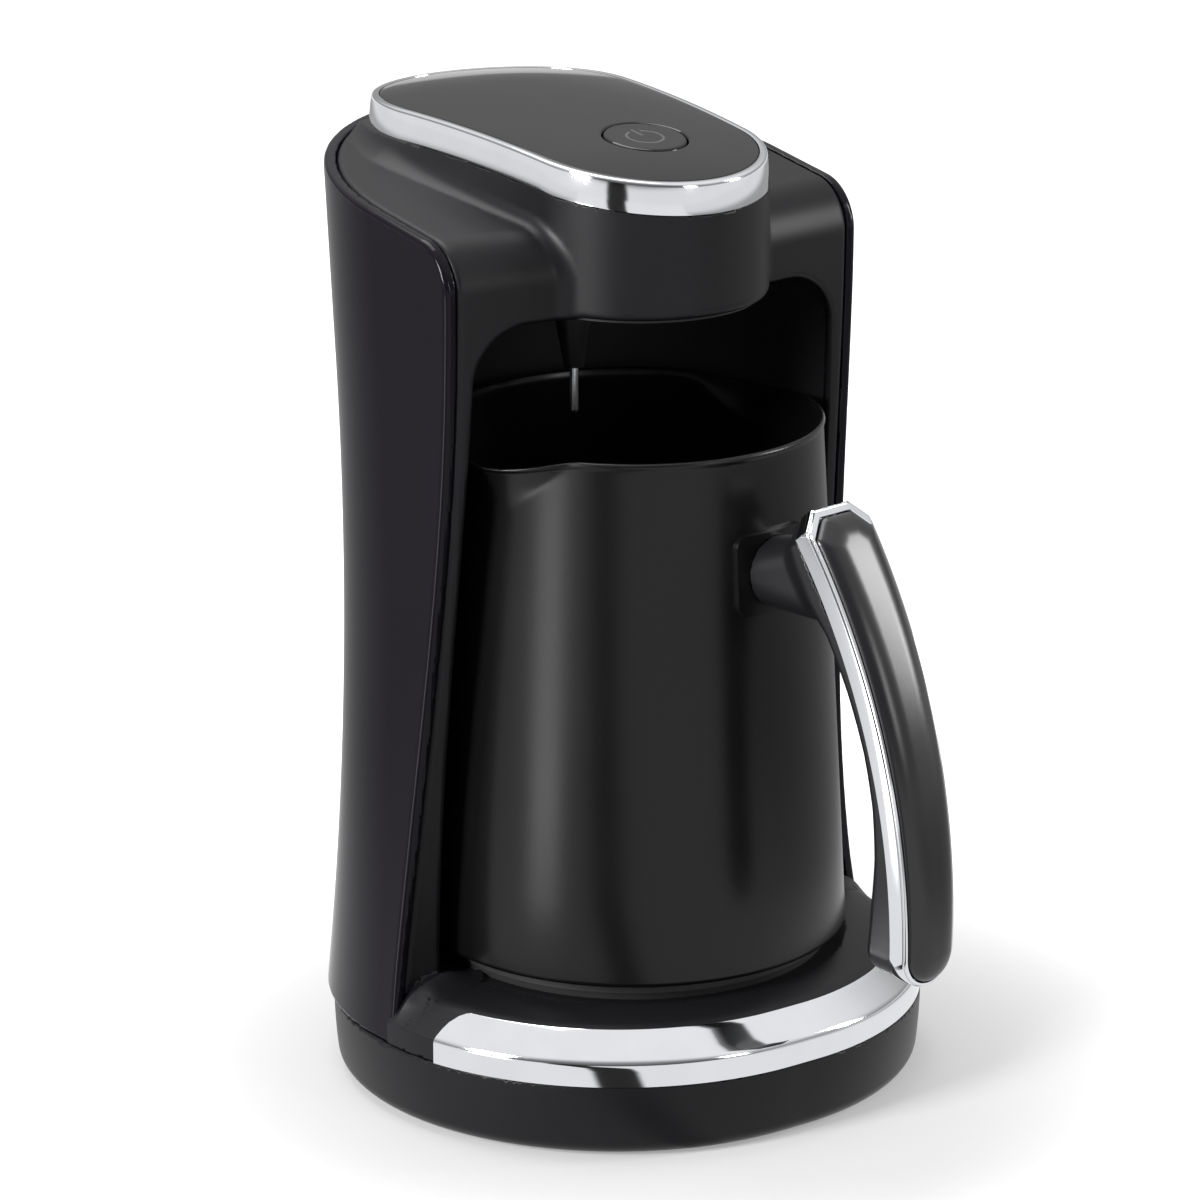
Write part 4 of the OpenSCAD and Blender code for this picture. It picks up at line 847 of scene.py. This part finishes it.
# ---- Sleeve under the button ----
# Grey silicone with rolled lips, standing on the control board.
# It pushes the button back up, and is built here at rest.

sleeve_foot, sleeve_h, sleeve_out, sleeve_bore, lip, press_way = 212.81, 5.45, 5.3, 4.5, 0.25, 0.85
sleeve_profile = ((sleeve_out, 0.0), (sleeve_out, sleeve_h - lip), (sleeve_out - 0.07, sleeve_h - 0.07),
                  (sleeve_out - lip, sleeve_h), (sleeve_bore + lip, sleeve_h),
                  (sleeve_bore + 0.07, sleeve_h - 0.07), (sleeve_bore, sleeve_h - lip), (sleeve_bore, 0.0))
loops = [np.column_stack([np.cos(around) * r, np.sin(around) * r + button_middle,
                          np.full(360, sleeve_foot + up)]) for r, up in sleeve_profile]
sleeve = lofted("silicone_sleeve", loops, "maker",
                moulded_plastic("grey_silicone", "#4c4c50", "#59595d", 0.6, 0.0004, 0.00003, 0.35))
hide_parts("button_dome")
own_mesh(sleeve)

# ---- Frame of the handle ----
# ABS plated with bright chrome: a long closed rim, chamfered at its top and round at its
# lower end, with a fine step all round before the insert.

# The handle follows an arc around (handle_middle, handle_z); lengths along it are measured at measure_r
handle_middle, handle_z, measure_r = -61.0, 52.7, 155.0
handle_end, handle_top, end_half, top_half = -1.8, 101.4, 8.2, 10.2
cut_along, cut_across = 4.6, 4.2


def handle_loop(side, top, arc_r):
    """The handle's outline drawn in by side and, at its top, by top, laid on an arc seen from the side."""
    low, high = end_half - side, top_half - side
    end = handle_top - top
    cut = min(1.0, high / 7.5)
    bend = np.linspace(-math.pi, 0, 49)
    flat = [np.stack([np.cos(bend) * low, handle_end + np.sin(bend) * low], 1)]
    stops = [(low, handle_end), (high, end - cut_along * cut), (high - cut_across * cut, end),
             (cut_across * cut - high, end), (-high, end - cut_along * cut), (-low, handle_end)]
    for (w0, a0), (w1, a1), n in zip(stops, stops[1:], (90, 10, 16, 10, 90)):
        t = np.linspace(0, 1, n + 1)[1:, None]
        flat.append(np.array([[w0, a0]]) + t * np.array([[w1 - w0, a1 - a0]]))
    across, along = np.concatenate(flat)[:-1].T
    swing = along / measure_r
    out = handle_middle + arc_r * np.cos(swing)
    return np.column_stack([out * math.sin(pot_turn) + across * math.cos(pot_turn),
                            bay_middle - out * math.cos(pot_turn) + across * math.sin(pot_turn),
                            handle_z + arc_r * np.sin(swing)])


handle_frame = lofted("handle_rim", [handle_loop(*at) for at in (
    (0.0, 0.0, 151.7), (0.0, 0.0, 155.4), (0.12, 0.12, 155.62), (0.45, 0.45, 155.5), (0.5, 0.6, 155.8),
    (0.62, 0.7, 156.05), (1.1, 2.1, 156.15), (1.2, 2.25, 156.0), (1.2, 2.3, 153.9), (3.4, 4.5, 153.9),
    (3.4, 4.5, 151.7))], "pot", chrome)
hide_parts("handle_frame")

# ---- Insert and grip of the handle ----
# Silk black ABS insert, moulded as a long pillow that stands proud of the rim, and a
# satin black nylon grip behind the frame, which grows out of the neck.

insert_abs = moulded_plastic("silk_black_abs", "#131315", "#18181b", 0.26, 0.0006, 0.00001, 0.5)
grip_nylon = moulded_plastic("satin_black_nylon", "#101012", "#151518", 0.38, 0.0004, 0.00003, 0.4)
pillow_side, pillow_run, pillow_rise = 1.6, 6.0, 3.1
pillow = [(0.0, 0.0), (0.0, pillow_side)]
pillow += [(pillow_run * (1 - math.cos(a)), pillow_side + pillow_rise * math.sin(a))
           for a in np.linspace(0.06, math.pi / 2, 26)]
insert = lofted("handle_pillow", [handle_loop(1.45 + s, 2.5 + 1.1 * s, 154.1 + h) for s, h in pillow],
                "pot", insert_abs, fold=24)
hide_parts("handle_insert")

neck_z, neck_rise, neck_r, bracket_t, front_r, chamfer_half = 128.9, 5.6, 8.1, 1.5, 151.6, 5.4
grip_levels = (40, 50, 60, 72, 84, 96, 108, 119, 130, 148)
grip_depths = (8.6, 8.6, 7.4, 5.2, 3.8, 3.3, 3.6, 4.3, 4.8, 4.6)


def grip_field(x, y, z):
    """A strip behind the frame, slim in its middle, and the neck that joins it to the pot."""
    out = x * math.sin(pot_turn) - (y - bay_middle) * math.cos(pot_turn)
    across = x * math.cos(pot_turn) + (y - bay_middle) * math.sin(pot_turn)
    arc = np.hypot(out - handle_middle, z - handle_z)
    along = measure_r * np.arctan2(z - handle_z, out - handle_middle)
    share = np.clip((along - handle_end) / (handle_top - cut_along - handle_end), 0, 1)
    half = end_half + (top_half - end_half) * share - 0.5
    plan = np.where(along < handle_end, np.hypot(across, along - handle_end) - half, np.abs(across) - half)
    past_top = along - handle_top + 0.6
    plan = common(plan, past_top, (np.abs(across) - chamfer_half) * 0.738 + past_top * 0.674)
    thick = np.interp(z, grip_levels, grip_depths)
    strip = rounded_and(np.maximum(plan, arc - front_r), front_r - thick - arc, 2.4)
    to_strip = np.clip((out - 46) / 22, 0, 1)
    middle = np.clip(z, neck_z, neck_z + neck_rise * to_strip)
    wall = pot_r - (pot_r - rim_r) * (z - pot_foot) / pot_h + bracket_t + 0.1
    neck = np.maximum(np.hypot(across, z - middle) - neck_r, arc - front_r)
    grip = common(rounded_or(strip, neck, 4.5), arc - front_r, wall - np.hypot(out, across))
    return without(grip, np.hypot(across, np.abs(z - neck_z) - 4) - 1.6, out - 60)


grip = carved("handle_grip_moulding", grip_field, (-7, -97, 40), (24, -34, 149), 0.6, "pot", grip_nylon)
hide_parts("handle_grip")

# ---- Studio: floor, background, lamps and camera ----
# A pale floor under soft lamps, in front of a white background. Gloss sees both differently:
# pale with one dark strip. On the floor the gloss is a painted reflection with a painted glare, and the
# camera's view of it holds painted shade around the maker.

floor_mesh = bpy.data.meshes.new("studio_floor")
floor_mesh.from_pydata([(-4, -4, 0), (4, -4, 0), (4, 4, 0), (-4, 4, 0)], [], [(0, 1, 2, 3)])
floor = linked("studio_floor", floor_mesh)

floor_paper, tree = finish_named("white_studio_paper")
rays = add(tree, "ShaderNodeLightPath").outputs
place = add(tree, "ShaderNodeTexCoord").outputs["Object"]
parts = add(tree, "ShaderNodeSeparateXYZ", {0: place}).outputs
reach = vector(tree, "LENGTH", place)
paper = add(tree, "ShaderNodeBsdfDiffuse", {"Color": linear("#a8a8a8")})
# For the camera, the floor's glow fades towards the maker: painted shade around the base, over the real shadow
# in the diffuse paper
seen = calc(tree, "MAXIMUM", rays["Is Camera Ray"], rays["Is Transmission Ray"])
glow_strength_painted_shade = calc(tree, "MULTIPLY", ramp(tree, reach, 0.075, 0.2, 0.31, 1.0), seen)
camera_glow_painted_shade = add(tree, "ShaderNodeEmission", {"Color": linear("#ffffff"), "Strength": glow_strength_painted_shade})
lit = add(tree, "ShaderNodeAddShader", {0: paper.outputs[0], 1: camera_glow_painted_shade.outputs[0]})

# In gloss, a painted dark reflection: a strip that widens as it runs out to the front left
strip_start, strip_way, strip_side = (-0.0725, -0.0835, 0.0), (-0.837, -0.548, 0.0), (0.548, -0.837, 0.0)
off = vector(tree, "SUBTRACT", place, strip_start)
along = vector(tree, "DOT_PRODUCT", off, strip_way)
beside = calc(tree, "ABSOLUTE", vector(tree, "DOT_PRODUCT", off, strip_side))
half = calc(tree, "MULTIPLY_ADD", along, 0.15, 0.0125)
strip = calc(tree, "MAXIMUM",
             ramp(tree, calc(tree, "DIVIDE", beside, half), 0.8, 1.15, 0.03, 1.0),
             ramp(tree, along, -0.07, -0.03, 1.0, 0.0, "LINEAR"))
# A pale floor all round in gloss, with painted shade that greys its reflection close behind the maker and to
# its right
near = calc(tree, "MINIMUM", ramp(tree, parts["Y"], 0.0, 0.35, 0.95, 0.45),
            ramp(tree, parts["X"], 0.07, 0.25, 0.95, 0.4))
pale = calc(tree, "MAXIMUM", near, ramp(tree, reach, 1.0, 2.0, 0.0, 0.85))
# A painted highlight: the glare of the left lamp, painted into the floor's gloss as a wedge out to the left
off_axis = calc(tree, "ABSOLUTE", calc(tree, "SUBTRACT", parts["Y"],
                                       calc(tree, "MULTIPLY_ADD", parts["X"], 0.06, -0.015)))
painted_glare_wedge = ramp(tree, calc(tree, "DIVIDE", off_axis, reach), 0.1, 0.16, 1.0, 0.0)
painted_glare = calc(tree, "MULTIPLY", ramp(tree, parts["X"], -0.32, -0.16, 5.0, 0.0),
             ramp(tree, parts["X"], -1.3, -1.0, 0.0, 1.0))
pale = calc(tree, "ADD", pale, calc(tree, "MULTIPLY", painted_glare_wedge, painted_glare))
# In gloss, the floor is only this glow: a painted reflection of pale floor, dark strip and glare
painted_gloss_glow = add(tree, "ShaderNodeEmission", {"Color": linear("#ffffff"),
                                         "Strength": calc(tree, "MULTIPLY", pale, strip)})
both = add(tree, "ShaderNodeMixShader", {0: rays["Is Glossy Ray"], 1: lit.outputs[0], 2: painted_gloss_glow.outputs[0]})
add(tree, "ShaderNodeOutputMaterial", {"Surface": both.outputs[0]})
floor_mesh.materials.append(floor_paper)

world = bpy.data.worlds.new("studio_world")
bpy.context.scene.world = world
world.use_nodes = True
tree = world.node_tree
tree.nodes.clear()
rays = add(tree, "ShaderNodeLightPath").outputs
where = add(tree, "ShaderNodeTexCoord").outputs["Generated"]
height = add(tree, "ShaderNodeSeparateXYZ", {0: where}).outputs["Z"]
# In gloss, a room that is dimmer towards the front left and low down
front = vector(tree, "DOT_PRODUCT", where, (-0.595, -0.803, 0.05))
room = calc(tree, "MULTIPLY", ramp(tree, front, 0.35, 0.85, 1.0, 0.35),
            ramp(tree, height, 0.15, 0.8, 0.35, 1.0))
# A pale strip of backdrop along the floor's edge, with the dark strip of the floor going on up through it
pale = calc(tree, "MAXIMUM", room, ramp(tree, height, 0.05, 0.1, 0.9, 0.0))
aside = vector(tree, "DOT_PRODUCT", where, (-0.819, -0.574, 0.0))
room = calc(tree, "MULTIPLY", pale, ramp(tree, aside, 0.982, 0.993, 1.0, 0.03))
mirrored = add(tree, "ShaderNodeMix", {"Factor": rays["Is Glossy Ray"], "A": 0.45, "B": room},
               data_type="FLOAT").outputs["Result"]
seen = calc(tree, "MAXIMUM", rays["Is Camera Ray"], rays["Is Transmission Ray"])
strength = add(tree, "ShaderNodeMix", {"Factor": seen, "A": mirrored, "B": 1.0},
               data_type="FLOAT").outputs["Result"]
sky = add(tree, "ShaderNodeBackground", {"Color": linear("#ffffff"), "Strength": strength})
add(tree, "ShaderNodeOutputWorld", {"Surface": sky.outputs["Background"]})

aim = Vector((0.0, 0.01, 0.11))
for name, azimuth, elevation, distance, width, tall, watts in (
        ("left_softbox", -88, 21, 1.1, 0.3, 0.46, 17.0),
        ("right_softbox", 56, 22, 1.1, 0.2, 0.5, 6.0),
        ("front_softbox", 10, 17, 1.1, 0.2, 0.3, 1.2),
        ("top_softbox", 180, 70, 1.3, 0.85, 0.85, 13.0)):
    turn, lift = math.radians(azimuth), math.radians(elevation)
    away = Vector((math.sin(turn) * math.cos(lift), -math.cos(turn) * math.cos(lift), math.sin(lift)))
    lamp = bpy.data.lights.new(name, "AREA")
    lamp.shape, lamp.size, lamp.size_y, lamp.energy = "RECTANGLE", width, tall, watts
    softbox = linked(name, lamp)
    softbox.location = aim + away * distance
    softbox.rotation_mode = "QUATERNION"
    softbox.rotation_quaternion = away.to_track_quat("Z", "Y")

camera_data = bpy.data.cameras.new("product_camera")
camera_data.lens, camera_data.sensor_width = 156.04, 36.0
camera_data.clip_start, camera_data.clip_end = 0.05, 20.0
camera = linked("product_camera", camera_data)
camera.location = (-0.69113, -0.91212, 0.46486)
camera.rotation_mode = "QUATERNION"
camera.rotation_quaternion = (Vector((0.0, 0.021195, 0.10845)) - camera.location).to_track_quat("-Z", "Y")
bpy.context.scene.camera = camera
bpy.context.scene.view_settings.view_transform = "Standard"
